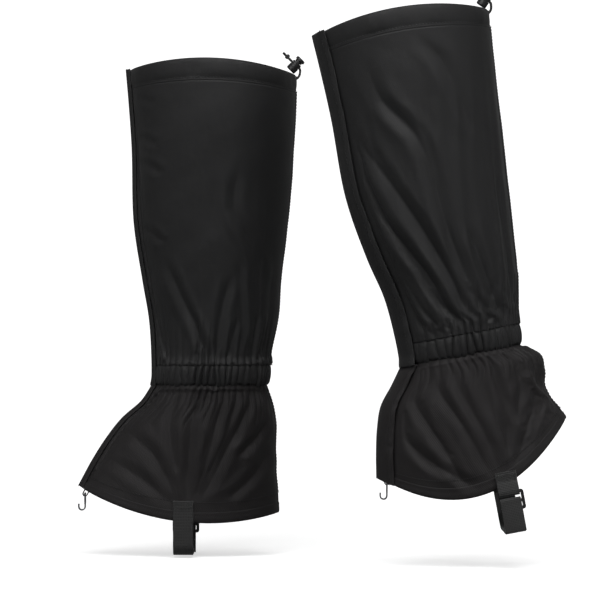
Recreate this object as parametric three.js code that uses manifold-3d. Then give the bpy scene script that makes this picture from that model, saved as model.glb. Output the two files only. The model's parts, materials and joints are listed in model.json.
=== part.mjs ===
// A pair of knee-high hiking gaiters, shown as worn in a stride.
// Each gaiter is a sewn sleeve that opens down the front: calf panels under a drawcord hem,
// an elastic ankle band, and a skirt that covers the boot and is held down by a strap
// under the sole and a hook on the laces. Millimetres, +Z up, toes towards -X.
// The wearer's right side is +Y. The origin is the centre of the right gaiter's ankle band.
import * as THREE from 'three';
import { mergeVertices } from 'three/addons/utils/BufferGeometryUtils.js';
import Module from 'manifold-3d';

const wasm = await Module();
wasm.setup();

// Driving dimensions

const cloth = 1.2; // panel wall
const clearance = 0.4; // between pieces that lie on each other
const calf = { height: 305, rimDepth: 165, rimWidth: 124, ankleDepth: 112, ankleWidth: 92 };
const rimHem = { height: 20, thickness: 6.2, backRise: -5, arch: 11.5 };
const ankleBand = { height: 22, thickness: 4.6, elasticThickness: 1.2, elasticHeight: 15 };
const bottomHem = { share: 0.07, outside: 0.5, thickness: 2.2 };
const gatherShare = 0.36; // of the skirt's height, just under the ankle band
const closure = {
  outerEdge: -6, // the outer panels' front edge, measured round from the front line
  innerEdge: 10, // the inner panels' front edge, on the other side of that line
  tapeStart: 3,
  tapeWidth: 25,
  tapeThickness: 1.0,
  flapOverhang: 4, // of the flap past the tape
  flapStart: -11,
};
const cord = { diameter: 2.4, spacing: 2.9, knot: 5, tail: 6.5 };
const cordLock = {
  bodyDiameter: 10.4, bore: 8.2, floor: 1.3, capDiameter: 10, capHeight: 3,
  stemDiameter: 7.6, travel: 2, lean: 45, out: 2.4, rise: 14, wall: 1.6,
};
const spring = { wire: 0.5, turns: 2.5, diameter: 5.4 };
const webbing = { width: 20, thickness: 1.4 };
const buckle = {
  width: 27, thickness: 3, bar: 3, corner: 2.5,
  upperSlot: 6, lowerSlot: 4, slotClearance: 0.6,
};
const lace = {
  tabWidth: 10, tabThickness: 1, bar: 2, plate: 1.4,
  width: 14, length: 10, tongue: 6, reach: 13,
};

// How each gaiter is worn. pulled is how much further up the leg its calf is drawn. A calf row is: share of the height, fullness in front, fullness behind,
// where fullness runs from 0 at the ankle's depth to 1 at the rim's.
// A skirt row is: front x, front z, back x, back z, measured out from the ankle band's lower edge,
// then the skirt's width there and how far its sides hang below the line from front to back.
const standing = {
  pulled: 0,
  calfRows: [
    [1, 0.96, 1.09], [0.75, 0.75, 1.02], [0.5, 0.67, 0.85],
    [0.31, 0.34, 0.59], [0.18, 0.09, 0.45], [0.05, 0, 0.13],
  ],
  skirtRows: [
    [0, 0, 0, 0, 92, 0], [11, -17, 6, -16, 96, 0], [31, -35, 10, -34, 99, 1],
    [46, -54, 10.5, -57, 100, 5], [60, -76, 11, -84, 100, 11], [73.5, -101, 10, -126, 100, 19],
  ],
  strap: { x: -27, top: -124, sole: -178 },
  flex: 0,
};
const striding = {
  pulled: 11,
  calfRows: [
    [1, 0.96, 1.09], [0.75, 0.83, 0.88], [0.5, 0.83, 0.71],
    [0.31, 0.48, 0.54], [0.18, 0.12, 0.38], [0.05, 0, 0.1],
  ],
  skirtRows: [
    [0, 0, 0, 0, 92, 0], [12, -17, 18, -11, 98, 0], [26, -35, 19.5, -23, 102, 3],
    [33, -55, 18, -37, 106, 11], [38, -77, 22, -54, 108, 25], [42, -100, 30, -76, 108, 43],
  ],
  strap: { x: 18, top: -125, sole: -184 },
  flex: 10.5,
};
const stride = { forward: 241.6, apart: 180, rise: 32, tilt: 10.5 };

// Materials

const looks = {
  calfCloth: { color: 0x2c2c2c, roughness: 0.62 },
  skirtCloth: { color: 0x262425, roughness: 0.75 },
  webbing: { color: 0x1c1c1c, roughness: 0.8 },
  tape: { color: 0x111111, roughness: 0.95 },
  elastic: { color: 0x1a1a1a, roughness: 0.85 },
  cord: { color: 0x151515, roughness: 0.7 },
  plastic: { color: 0x18181a, roughness: 0.4 },
  steel: { color: 0x8a8c90, roughness: 0.35, metalness: 0.9 },
};
const materials = Object.fromEntries(
  Object.entries(looks).map(([name, look]) => [name, new THREE.MeshStandardMaterial(look)]),
);

// Solids

function merged(geometry) {
  const bare = geometry.clone();
  bare.deleteAttribute('normal');
  bare.deleteAttribute('uv');
  return mergeVertices(bare, 1e-3);
}

function toSolid(geometry) {
  const { index, attributes } = merged(geometry);
  const triVerts = new Uint32Array(index.array);
  const mesh = { numProp: 3, vertProperties: attributes.position.array, triVerts };
  return new wasm.Manifold(new wasm.Mesh(mesh));
}

function toGeometry(solid) {
  const { vertProperties, triVerts } = solid.getMesh();
  const geometry = new THREE.BufferGeometry();
  geometry.setAttribute('position', new THREE.BufferAttribute(vertProperties, 3));
  geometry.setIndex(new THREE.BufferAttribute(triVerts, 1));
  return geometry;
}

const join = (...geometries) => toGeometry(geometries.map(toSolid).reduce((a, b) => a.add(b)));
const cut = (geometry, ...tools) =>
  toGeometry(tools.map(toSolid).reduce((a, b) => a.subtract(b), toSolid(geometry)));

// Turns the faces round if they point inwards.
function facingOut(geometry) {
  const p = geometry.attributes.position;
  const index = geometry.index.array;
  const corner = [new THREE.Vector3(), new THREE.Vector3(), new THREE.Vector3()];
  let volume = 0;
  for (let i = 0; i < index.length; i += 3) {
    corner.forEach((v, k) => v.fromBufferAttribute(p, index[i + k]));
    volume += corner[0].dot(corner[1].clone().cross(corner[2]));
  }
  if (volume < 0) {
    for (let i = 0; i < index.length; i += 3) [index[i], index[i + 1]] = [index[i + 1], index[i]];
  }
  return geometry;
}

// A closed solid between two equal grids of points, given as rows.
function slab(outerRows, innerRows) {
  const rows = outerRows.length;
  const columns = outerRows[0].length;
  const points = [...outerRows.flat(), ...innerRows.flat()];
  const outer = (i, j) => i * columns + j;
  const inner = (i, j) => rows * columns + outer(i, j);
  const index = [];
  const quad = (a, b, c, d) => index.push(a, b, c, a, c, d);
  for (let i = 0; i < rows - 1; i++) {
    for (let j = 0; j < columns - 1; j++) {
      quad(outer(i, j), outer(i + 1, j), outer(i + 1, j + 1), outer(i, j + 1));
      quad(inner(i, j), inner(i, j + 1), inner(i + 1, j + 1), inner(i + 1, j));
    }
    quad(outer(i, 0), inner(i, 0), inner(i + 1, 0), outer(i + 1, 0));
    quad(outer(i, columns - 1), outer(i + 1, columns - 1), inner(i + 1, columns - 1), inner(i, columns - 1));
  }
  for (let j = 0; j < columns - 1; j++) {
    quad(outer(0, j), outer(0, j + 1), inner(0, j + 1), inner(0, j));
    quad(outer(rows - 1, j), inner(rows - 1, j), inner(rows - 1, j + 1), outer(rows - 1, j + 1));
  }
  const geometry = new THREE.BufferGeometry().setFromPoints(points);
  geometry.setIndex(index);
  return facingOut(geometry);
}

// A strip of webbing: a line drawn in the YZ plane, given a thickness and extruded along X.
function strip(line, thickness, width, x) {
  const sides = [1, -1].map((sign) =>
    line.map((p, i) => {
      const along = line[Math.min(i + 1, line.length - 1)].clone().sub(line[Math.max(i - 1, 0)]).normalize();
      return new THREE.Vector2(-along.y, along.x).multiplyScalar((sign * thickness) / 2).add(p);
    }),
  );
  const shape = new THREE.Shape([...sides[0], ...sides[1].reverse()]);
  const geometry = new THREE.ExtrudeGeometry(shape, { depth: width, bevelEnabled: false });
  // The shape's plane (y, z) becomes the part's, and the extrusion runs along X.
  const turn = new THREE.Matrix4().makeBasis(
    new THREE.Vector3(0, 1, 0), new THREE.Vector3(0, 0, 1), new THREE.Vector3(1, 0, 0),
  );
  return geometry.applyMatrix4(turn).translate(x - width / 2, 0, 0);
}

function rod(path, diameter, sides, steps) {
  const round = new THREE.Shape(
    Array.from({ length: sides }, (_, i) => {
      const turn = (i * 2 * Math.PI) / sides;
      return new THREE.Vector2(Math.cos(turn), Math.sin(turn)).multiplyScalar(diameter / 2);
    }),
  );
  return new THREE.ExtrudeGeometry(round, { steps, bevelEnabled: false, extrudePath: path });
}

// A sleeve of fabric, by its stations from top to bottom: front and back points, width and sag.
// lateral is +1 for the right leg and -1 for the left, so that arcs run round by the outer side.
function sleeve(stations, lateral, rows) {
  const curve = (pick) => new THREE.CatmullRomCurve3(stations.map((s) => new THREE.Vector3(...pick(s))));
  const frontLine = curve((s) => [s.front.x, 0, s.front.z]);
  const backLine = curve((s) => [s.back.x, 0, s.back.z]);
  const shape = curve((s) => [s.width / 2, s.sag, 0]);
  const base = (t, angle) => {
    const front = frontLine.getPoint(t);
    const back = backLine.getPoint(t);
    const { x: half, y: sag } = shape.getPoint(t);
    const reach = front.clone().sub(back).multiplyScalar(Math.cos(angle) / 2);
    const middle = front.add(back).multiplyScalar(0.5);
    const side = Math.sin(angle);
    return middle.add(reach).add(new THREE.Vector3(0, lateral * half * side, -sag * side * side));
  };
  const arcSteps = 180;
  const arcs = new Map();
  const arcTable = (t) => {
    if (arcs.has(t)) return arcs.get(t);
    const lengths = [0];
    let last = base(t, 0);
    for (let i = 1; i <= arcSteps; i++) {
      const next = base(t, (i * 2 * Math.PI) / arcSteps);
      lengths.push(lengths[i - 1] + next.distanceTo(last));
      last = next;
    }
    arcs.set(t, lengths);
    return lengths;
  };
  const perimeter = (t) => arcTable(t)[arcSteps];
  const angleAt = (t, arc) => {
    const lengths = arcTable(t);
    const around = arc < 0 ? arc + lengths[arcSteps] : arc;
    const i = Math.min(arcSteps, Math.max(1, lengths.findIndex((l) => l >= around - 1e-9)));
    const share = (around - lengths[i - 1]) / (lengths[i] - lengths[i - 1]);
    return ((i - 1 + share) * 2 * Math.PI) / arcSteps;
  };
  const point = (t, arc, offset) => {
    const nudge = 0.01;
    const angle = angleAt(t, arc);
    const here = base(t, angle);
    const round = base(t, angle + nudge).sub(base(t, angle - nudge));
    const down = base(Math.min(1, t + nudge), angle).sub(base(Math.max(0, t - nudge), angle));
    const normal = round.cross(down).normalize().multiplyScalar(lateral);
    return here.addScaledVector(normal, offset);
  };
  // The share of the way down at which the front line passes a height.
  const shareAt = (height) => {
    let low = 0;
    let high = 1;
    for (let i = 0; i < 40; i++) {
      const middle = (low + high) / 2;
      if (frontLine.getPoint(middle).z > height) low = middle;
      else high = middle;
    }
    return (low + high) / 2;
  };
  return { point, perimeter, shareAt, frontLine, levels: spaced(0, 1, rows) };
}

// The lines that run down a sleeve, as arcs round it. Every piece takes its edges from them, so that
// pieces lying on each other have parallel faces.
const sideColumns = 12;
const lines = { flapStart: 0, outerEdge: 1, tapeStart: 2, tapeEnd: 4, flapEnd: 5 };
lines.outerSeam = lines.flapEnd + sideColumns;
lines.innerSeam = lines.outerSeam + 1;
lines.innerEdge = lines.innerSeam + sideColumns + 1;

const spaced = (start, end, steps) =>
  Array.from({ length: steps + 1 }, (_, i) => start + ((end - start) * i) / steps);

function arcsAt(shape, t) {
  const round = shape.perimeter(t);
  const { flapStart, outerEdge, innerEdge, tapeStart, tapeWidth, flapOverhang } = closure;
  const tapeEnd = tapeStart + tapeWidth;
  const seam = clearance / 2;
  return [
    flapStart, outerEdge, tapeStart, tapeStart + tapeWidth / 2, tapeEnd,
    ...spaced(tapeEnd + flapOverhang, round / 2 - seam, sideColumns),
    ...spaced(round / 2 + seam, round - innerEdge, sideColumns + 1),
  ];
}

// A panel of a sleeve between two of its lines: top and bottom are shares of its height.
// A cutting shape runs past both its edges.
function panel(shape, { from, to, top, bottom, outside = 0, thickness = cloth, runout = 0 }) {
  const levels = [top, ...shape.levels.filter((t) => t > top + 0.01 && t < bottom - 0.01), bottom];
  const grid = (offset) =>
    levels.map((t) => {
      const arcs = arcsAt(shape, t).slice(from, to + 1);
      if (runout) {
        arcs.unshift(arcs[0] - runout);
        arcs.push(arcs.at(-1) + runout);
      }
      return arcs.map((arc) => shape.point(t, arc, offset));
    });
  return slab(grid(outside), grid(outside - thickness));
}

function calfSleeve(worn, lateral) {
  const depth = (fullness) => (calf.ankleDepth + (calf.rimDepth - calf.ankleDepth) * fullness) / 2;
  const height = calf.height + worn.pulled;
  const stations = worn.calfRows.map(([share, front, back], i) => ({
    front: { x: -depth(front), z: height * share },
    back: { x: depth(back), z: height * share + (i === 0 ? rimHem.backRise : 0) },
    width: calf.ankleWidth + (calf.rimWidth - calf.ankleWidth) * Math.min(1, 1.6 * share),
    sag: i === 0 ? -rimHem.arch : 0,
  }));
  const half = calf.ankleDepth / 2;
  const z = -ankleBand.height / 2;
  stations.push({ front: { x: -half, z }, back: { x: half, z }, width: calf.ankleWidth, sag: 0 });
  return sleeve(stations, lateral, 12);
}

function skirtSleeve(worn, lateral) {
  const top = -ankleBand.height / 2 - clearance;
  const half = calf.ankleDepth / 2;
  const widen = calf.ankleWidth - worn.skirtRows[0][4];
  const stations = worn.skirtRows.map(([frontOut, frontDown, backOut, backDown, width, sag]) => ({
    front: { x: -half - frontOut, z: top + frontDown },
    back: { x: half + backOut, z: top + backDown },
    width: width + widen,
    sag,
  }));
  return sleeve(stations, lateral, 10);
}

// Pieces that lie on a sleeve

const loopOutside = clearance + closure.tapeThickness;
const hookOutside = loopOutside + clearance + closure.tapeThickness;
const flapOutside = hookOutside + clearance + cloth;

const outerHalf = (shape, span) => panel(shape, { ...span, from: lines.outerEdge, to: lines.outerSeam });
const innerHalf = (shape, span) => panel(shape, { ...span, from: lines.innerSeam, to: lines.innerEdge });
const wrap = (shape, span) => panel(shape, { ...span, from: lines.outerEdge, to: lines.innerEdge });
const flap = (shape, span) =>
  panel(shape, { ...span, from: lines.flapStart, to: lines.flapEnd, outside: flapOutside });
const tape = (shape, span, outside) =>
  panel(shape, {
    ...span, from: lines.tapeStart, to: lines.tapeEnd, outside, thickness: closure.tapeThickness,
  });

// The rim: a hem that is a tunnel for the drawcord, the drawcord, and the lock that grips it behind.

const tunnel = { wall: 1, height: 8 };

const rimHeight = (shape) => shape.frontLine.getPoint(0).z;

function rimParts(shape, hemBottom) {
  const height = rimHeight(shape);
  const tunnelTop = shape.shareAt(height - tunnel.wall - clearance);
  const tunnelBottom = shape.shareAt(height - tunnel.wall - tunnel.height);
  const cordLine = shape.shareAt(height - tunnel.wall - tunnel.height / 2);
  const cordDepth = -rimHem.thickness / 2;
  const body = wrap(shape, { top: 0, bottom: hemBottom, thickness: rimHem.thickness });
  const hollow = wrap(shape, {
    top: tunnelTop, bottom: tunnelBottom,
    outside: -tunnel.wall, thickness: rimHem.thickness - 2 * tunnel.wall, runout: 1.5,
  });
  const arcs = arcsAt(shape, cordLine);
  const exit = shape.point(cordLine, shape.perimeter(cordLine) / 2, cordDepth);
  const up = cordDirection();
  const lockAt = new THREE.Vector3(exit.x + cordLock.out, 0, exit.z + cordLock.rise);
  const mouth = new THREE.BoxGeometry(9, 2 * cord.spacing + 3.4, 4.4).translate(exit.x + 4.5, 0, exit.z);
  const hem = cut(body, hollow, mouth);

  // Each half of the cord runs from its sewn end at the front to the back, then out through the mouth.
  const inAt = lockAt.clone().addScaledVector(up, -cordLock.bodyDiameter / 2 - 1);
  const tipAt = lockAt.clone().addScaledVector(up, cordLock.bodyDiameter / 2 + cord.tail);
  const half = (round) => {
    const points = round.map((arc) => shape.point(cordLine, arc, cordDepth));
    const y = Math.sign(points.at(-1).y) * (cord.spacing / 2);
    const bends = [[0, 0, 1.9], [3.6, 0.6, 1.1], [6, 3.2, 1], [6.8, 6.2, 1]];
    for (const [out, rise, apart] of bends) {
      points.push(new THREE.Vector3(exit.x + out, y * apart, exit.z + rise));
    }
    for (const share of [0, 0.25, 0.5, 0.75, 1]) points.push(inAt.clone().lerp(tipAt, share).setY(y));
    return rod(new THREE.CatmullRomCurve3(points), cord.diameter, 8, 56);
  };
  const sewn = 2; // from the hem's front edge to the cord's sewn end
  const outerArcs = [arcs[lines.outerEdge] + sewn, ...arcs.slice(lines.outerEdge + 1, lines.outerSeam)];
  const innerRound = arcs.slice(lines.innerSeam + 1, lines.innerEdge).reverse();
  const innerArcs = [arcs[lines.innerEdge] - sewn, ...innerRound];
  const knot = new THREE.SphereGeometry(cord.knot / 2, 10, 6).translate(tipAt.x, 0, tipAt.z);
  return { hem, drawcord: join(half(outerArcs), half(innerArcs), knot), lockAt, up };
}

// The cord leaves the rim leaning forward, square to the lock's barrel.
function cordDirection() {
  const lean = THREE.MathUtils.degToRad(cordLock.lean);
  return new THREE.Vector3(-Math.cos(lean), 0, Math.sin(lean));
}

// The lock is turned about its own Z, which is the barrel's axis, with the cord hole along its X.
function lathe(profile) {
  return new THREE.LatheGeometry(profile.map(([r, z]) => new THREE.Vector2(r, z)), 20).rotateX(Math.PI / 2);
}

function cordHole(length, height, z) {
  return new THREE.BoxGeometry(length, cord.spacing + cord.diameter + 0.6, height).translate(0, 0, z);
}

function cordLockParts() {
  const { bodyDiameter, bore, floor, capDiameter, capHeight, stemDiameter, travel, wall } = cordLock;
  const r = bodyDiameter / 2;
  const edge = 0.8; // rounding of the barrel's and the cap's rims
  const cordGap = cord.diameter + 0.5;
  const top = cordGap / 2 + wall;
  const seat = -cordGap / 2 - 1.2; // the button's lower end, on the spring
  const squeezed = spring.turns * spring.wire + clearance;
  const inside = seat - travel - squeezed;
  const bottom = inside - floor;
  const barrel = cut(
    lathe([[0, bottom], [r - edge, bottom], [r, bottom + edge], [r, top - edge], [r - edge, top],
      [bore / 2, top], [bore / 2, inside], [0, inside]]),
    cordHole(bodyDiameter + 2, cordGap, 0),
  );
  const stem = stemDiameter / 2;
  const cap = capDiameter / 2;
  const under = top + travel + clearance; // underside of the cap at rest
  const slotTop = cordGap / 2 + travel;
  const button = cut(
    lathe([[0, seat], [stem, seat], [stem, under], [cap, under], [cap, under + capHeight - edge],
      [cap - edge, under + capHeight], [0, under + capHeight]]),
    cordHole(stemDiameter + 2, slotTop + cordGap / 2, (slotTop - cordGap / 2) / 2),
  );
  const start = inside + clearance / 2 + spring.wire / 2;
  const room = seat - inside - clearance - spring.wire;
  const steps = spring.turns * 10;
  const coil = Array.from({ length: steps + 1 }, (_, i) => {
    const turn = (i * 2 * Math.PI) / 10;
    const radius = (spring.diameter - spring.wire) / 2;
    return new THREE.Vector3(radius * Math.cos(turn), radius * Math.sin(turn), start + (room * i) / steps);
  });
  return { barrel, button, coil: rod(new THREE.CatmullRomCurve3(coil), spring.wire, 6, spring.turns * 12) };
}

// The strap under the sole, its buckle on the outer side and the tab that holds the buckle.
// Lines are drawn on the outer side, as distance out from the middle and height.

function strapParts(worn, width, lateral) {
  const { x, top, sole } = worn.strap;
  const { thickness } = webbing;
  const on = width / 2 + bottomHem.outside + clearance + thickness / 2; // the webbing's own line on the skirt
  const line = (points) =>
    new THREE.SplineCurve(points.map(([out, z]) => new THREE.Vector2(lateral * out, z)));
  const plate = on + thickness / 2 + clearance; // inner face of the buckle
  const front = plate + buckle.thickness + clearance + thickness / 2;
  const middle = plate + buckle.thickness / 2;
  const buckleTop = top - 18;
  const slotTop = buckleTop - buckle.bar;
  const slotBottom = slotTop - buckle.upperSlot;
  const lowerTop = slotBottom - buckle.bar;
  const lowerBottom = lowerTop - buckle.lowerSlot;
  const buckleBottom = lowerBottom - buckle.bar;

  const doubled = on + thickness + clearance; // the tab's second layer
  const tabLine = line([
    [on, top], [on, top - 6], [on, buckleTop], [on, slotTop + 0.4], [on + 0.7, slotTop - 0.9],
    [middle, slotTop - 1.4], [front - 0.5, slotTop - 0.6], [front, slotTop + 0.8],
    [front, buckleTop - 0.4], [front - 0.6, buckleTop + 1.8], [on + thickness + 1.8, buckleTop + 6],
    [doubled, buckleTop + 9.5], [doubled, top - 2],
  ]);
  const tab = strip(tabLine.getPoints(36), thickness, webbing.width, x);

  const outline = new THREE.Shape();
  const w = buckle.width / 2;
  const c = buckle.corner;
  outline.moveTo(-w + c, buckleBottom);
  outline.lineTo(w - c, buckleBottom).absarc(w - c, buckleBottom + c, c, -Math.PI / 2, 0);
  outline.lineTo(w, buckleTop - c).absarc(w - c, buckleTop - c, c, 0, Math.PI / 2);
  outline.lineTo(-w + c, buckleTop).absarc(-w + c, buckleTop - c, c, Math.PI / 2, Math.PI);
  outline.lineTo(-w, buckleBottom + c).absarc(-w + c, buckleBottom + c, c, Math.PI, 1.5 * Math.PI);
  const slotHalf = webbing.width / 2 + buckle.slotClearance;
  for (const [low, high] of [[slotBottom, slotTop], [lowerBottom, lowerTop]]) {
    const slot = new THREE.Path();
    slot.moveTo(-slotHalf, low).lineTo(-slotHalf, high);
    slot.lineTo(slotHalf, high).lineTo(slotHalf, low).closePath();
    outline.holes.push(slot);
  }
  // The outline's plane (x, z) is stood up, and its thickness runs outwards.
  const lock = new THREE.ExtrudeGeometry(outline, {
    depth: buckle.thickness, bevelEnabled: false, curveSegments: 3,
  });
  lock.rotateX(Math.PI / 2);
  lock.translate(x, lateral > 0 ? plate + buckle.thickness : -plate, 0);

  // From the free tail, up over the middle bar, down behind and under the sole to its sewn end.
  const bottom = sole + thickness / 2;
  const round = 11; // the strap's turn at each edge of the sole
  const threaded = line([
    [front + 0.6, buckleBottom - 20], [front + 0.8, buckleBottom - 8], [front, lowerTop],
    [front, slotBottom - 1.4], [front - 0.6, slotBottom + 0.9], [middle, slotBottom + 1.5],
    [on + 0.7, slotBottom + 0.9], [on, slotBottom - 0.8], [on, lowerBottom],
  ]);
  const turnUnder = (sign) => Array.from({ length: 6 }, (_, i) => {
    const turn = (i * Math.PI) / 10;
    const out = on - round + round * Math.cos(turn);
    return new THREE.Vector2(sign * lateral * out, bottom + round - round * Math.sin(turn));
  });
  const points = [
    ...threaded.getPoints(32),
    ...turnUnder(1),
    ...turnUnder(-1).reverse(),
    new THREE.Vector2(-lateral * on, top),
  ];
  const strap = strip(points, thickness, webbing.width, x);
  return { tab, lock, strap, swing: new THREE.Vector3(x, 0, top - 10) };
}

// The hook for the laces hangs from a tab inside the front of the bottom hem.

function laceParts(shape, tilt) {
  const end = shape.frontLine.getPoint(1);
  const above = shape.frontLine.getPoint(0.92);
  const down = end.clone().sub(above).normalize();
  const inward = new THREE.Vector3(-down.z, 0, down.x);
  const { tabWidth, tabThickness, bar, plate, width, length, tongue, reach } = lace;
  const loop = bar / 2 + 0.7 + tabThickness / 2; // radius of the tab's line round the hook's bar
  const hemInside = bottomHem.thickness - bottomHem.outside;
  const fold = 1.2; // how far the hem curves in over the tab's half width
  const depth = hemInside + fold + clearance + tabThickness / 2; // the tab's line inside the front fold
  const barDrop = 4.5;
  const at = (into, along) => end.clone().addScaledVector(inward, into).addScaledVector(down, along);
  const turns = Array.from({ length: 7 }, (_, i) => {
    const turn = (i * Math.PI) / 6;
    return [depth + loop - loop * Math.cos(turn), barDrop + loop * Math.sin(turn)];
  });
  const line = [[depth, -12], [depth, -6], ...turns, [depth + 2 * loop, -6], [depth + 2 * loop, -12]];
  const flatLine = line.map(([into, along]) => {
    const p = at(into, along);
    return new THREE.Vector2(p.x, p.z);
  });
  const tab = strip(flatLine, tabThickness, tabWidth, 0);
  tab.rotateZ(-Math.PI / 2);

  // The hook is drawn hanging plumb from its bar, its tongue curling forward and up.
  const pivot = at(depth + loop, barDrop);
  const frame = new THREE.Shape([
    new THREE.Vector2(-width / 2, bar / 2), new THREE.Vector2(width / 2, bar / 2),
    new THREE.Vector2(width / 2, -length), new THREE.Vector2(-width / 2, -length),
  ]);
  const slot = new THREE.Path([
    new THREE.Vector2(-tabWidth / 2 - 0.8, -bar / 2), new THREE.Vector2(-tabWidth / 2 - 0.8, -length + 3),
    new THREE.Vector2(tabWidth / 2 + 0.8, -length + 3), new THREE.Vector2(tabWidth / 2 + 0.8, -bar / 2),
  ]);
  frame.holes.push(slot);
  const ring = new THREE.ExtrudeGeometry(frame, { depth: plate, bevelEnabled: false });
  ring.translate(0, 0, -plate / 2).rotateX(Math.PI / 2).rotateZ(Math.PI / 2);
  const curl = 3.2;
  const tongueLine = [new THREE.Vector2(0, -length + 1), new THREE.Vector2(0, -reach + 1)];
  for (let i = 0; i <= 6; i++) {
    const turn = (i * Math.PI) / 6;
    tongueLine.push(new THREE.Vector2(-curl + curl * Math.cos(turn), -reach - curl * Math.sin(turn)));
  }
  tongueLine.push(new THREE.Vector2(-2 * curl, -reach + 3));
  const hookTongue = strip(tongueLine, plate, tongue, 0);
  hookTongue.rotateZ(-Math.PI / 2);
  const hook = join(ring, hookTongue);
  hook.rotateY(THREE.MathUtils.degToRad(tilt)).translate(pivot.x, 0, pivot.z);
  return { tab, hook, pivot };
}

// The straight line that a flap turns about: the chord of its sewn edge, moved out past its bulge.
function flapHinge(shape, top, bottom) {
  const start = shape.point(top, closure.flapStart, flapOutside);
  const end = shape.point(bottom, closure.flapStart, flapOutside);
  const axis = end.clone().sub(start).normalize();
  const out = new THREE.Vector3(axis.z, 0, -axis.x);
  if (out.x > 0) out.negate();
  const steps = 20;
  const bulge = Math.max(
    ...Array.from({ length: steps + 1 }, (_, i) => {
      const p = shape.point(top + ((bottom - top) * i) / steps, closure.flapStart, flapOutside);
      return p.sub(start).dot(out);
    }),
  );
  return { origin: start.addScaledVector(out, bulge + clearance), axis: axis.negate() };
}

// One gaiter, with its joints' lines in userData, in its own frame

function gaiter(side, worn) {
  const lateral = side === 'right' ? 1 : -1;
  const group = new THREE.Group();
  const add = (name, geometry, material) => {
    const mesh = new THREE.Mesh(geometry, materials[material]);
    mesh.name = `${side}_${name}`;
    group.add(mesh);
    return mesh;
  };
  const upper = calfSleeve(worn, lateral);
  const lower = skirtSleeve(worn, lateral);
  const hemBottom = upper.shareAt(rimHeight(upper) - rimHem.height);
  const bandTop = upper.shareAt(ankleBand.height / 2);
  const below = (t) => t + 0.004; // a sliver of a gap between neighbours down the sleeve

  const calfSpan = { top: below(hemBottom), bottom: bandTop - 0.004 };
  add('calf_outer_panel', outerHalf(upper, calfSpan), 'calfCloth');
  add('calf_inner_panel', innerHalf(upper, calfSpan), 'calfCloth');

  const rim = rimParts(upper, hemBottom);
  add('top_hem', rim.hem, 'calfCloth');
  add('drawcord', rim.drawcord, 'cord');

  const lockTurn = THREE.MathUtils.degToRad(cordLock.lean);
  const { barrel, button, coil } = cordLockParts();
  for (const [name, geometry, material] of [
    ['cord_lock_barrel', barrel, 'plastic'],
    ['cord_lock_button', button, 'plastic'],
    ['cord_lock_spring', coil, 'steel'],
  ]) {
    const mesh = add(name, geometry, material);
    mesh.rotation.y = Math.PI / 2 - lockTurn;
    mesh.position.copy(rim.lockAt);
  }

  const { thickness, elasticThickness, elasticHeight } = ankleBand;
  const elasticInside = (thickness - elasticThickness) / 2;
  const elasticTop = upper.shareAt(elasticHeight / 2);
  const elasticBottom = upper.shareAt(-elasticHeight / 2);
  const band = wrap(upper, { top: bandTop, bottom: 1, thickness });
  const channel = wrap(upper, {
    top: upper.shareAt(elasticHeight / 2 + 1), bottom: upper.shareAt(-elasticHeight / 2 - 1),
    outside: -cloth, thickness: thickness - 2 * cloth, runout: 1.5,
  });
  add('ankle_band', cut(band, channel), 'calfCloth');
  const elastic = wrap(upper, {
    top: elasticTop, bottom: elasticBottom, outside: -elasticInside, thickness: elasticThickness,
  });
  add('ankle_elastic', elastic, 'elastic');

  const calfTape = { top: hemBottom / 4, bottom: 0.985 };
  add('calf_loop_tape', tape(upper, calfTape, loopOutside), 'tape');
  add('calf_hook_tape', tape(upper, calfTape, hookOutside), 'tape');
  add('calf_flap', flap(upper, { top: 0, bottom: 1 }), 'calfCloth');

  const hemTop = 1 - bottomHem.share;
  add('ankle_gather', wrap(lower, { top: 0, bottom: gatherShare }), 'skirtCloth');
  const skirtSpan = { top: gatherShare + 0.01, bottom: hemTop - 0.01 };
  add('skirt_outer_panel', outerHalf(lower, skirtSpan), 'skirtCloth');
  add('skirt_inner_panel', innerHalf(lower, skirtSpan), 'skirtCloth');
  const hemSpan = { top: hemTop, bottom: 1, outside: bottomHem.outside, thickness: bottomHem.thickness };
  add('bottom_hem', wrap(lower, hemSpan), 'skirtCloth');
  const skirtTape = { top: gatherShare + 0.04, bottom: hemTop - 0.02 };
  const flapTop = 0.32; // the skirt's flap starts below the calf flap's end, clear of it as both open
  add('skirt_loop_tape', tape(lower, skirtTape, loopOutside), 'tape');
  add('skirt_hook_tape', tape(lower, skirtTape, hookOutside), 'tape');
  add('skirt_flap', flap(lower, { top: flapTop, bottom: 1 }), 'skirtCloth');

  const widest = Math.max(...worn.skirtRows.map((row) => row[4])) + calf.ankleWidth - worn.skirtRows[0][4];
  const foot = strapParts(worn, widest, lateral);
  add('buckle_tab', foot.tab, 'webbing');
  add('ladder_buckle', foot.lock, 'plastic');
  add('instep_strap', foot.strap, 'webbing');

  const laces = laceParts(lower, worn.flex);
  add('lace_hook_tab', laces.tab, 'webbing');
  add('lace_hook', laces.hook, 'steel');

  const upright = new THREE.Vector3(0, 1, 0);
  group.userData.lines = {
    calf_flap: flapHinge(upper, 0, 1),
    skirt_flap: flapHinge(lower, flapTop, 1),
    ankle: { origin: new THREE.Vector3(), axis: upright },
    strap: { origin: foot.swing, axis: upright },
    lace_hook: { origin: laces.pivot, axis: upright },
    lock: { origin: rim.lockAt, axis: rim.up },
    button: { origin: rim.lockAt, axis: new THREE.Vector3(-Math.cos(lockTurn), 0, -Math.sin(lockTurn)) },
  };
  group.name = `${side}_gaiter`;
  return group;
}

const pair = new THREE.Group();
const right = gaiter('right', standing);
const left = gaiter('left', striding);
left.position.set(stride.forward, -stride.apart, stride.rise);
left.rotation.y = -THREE.MathUtils.degToRad(stride.tilt);
pair.add(right, left);

export default pair;
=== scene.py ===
# A pair of black knee-high hiking gaiters in a stride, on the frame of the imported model.
import json
import math

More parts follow.
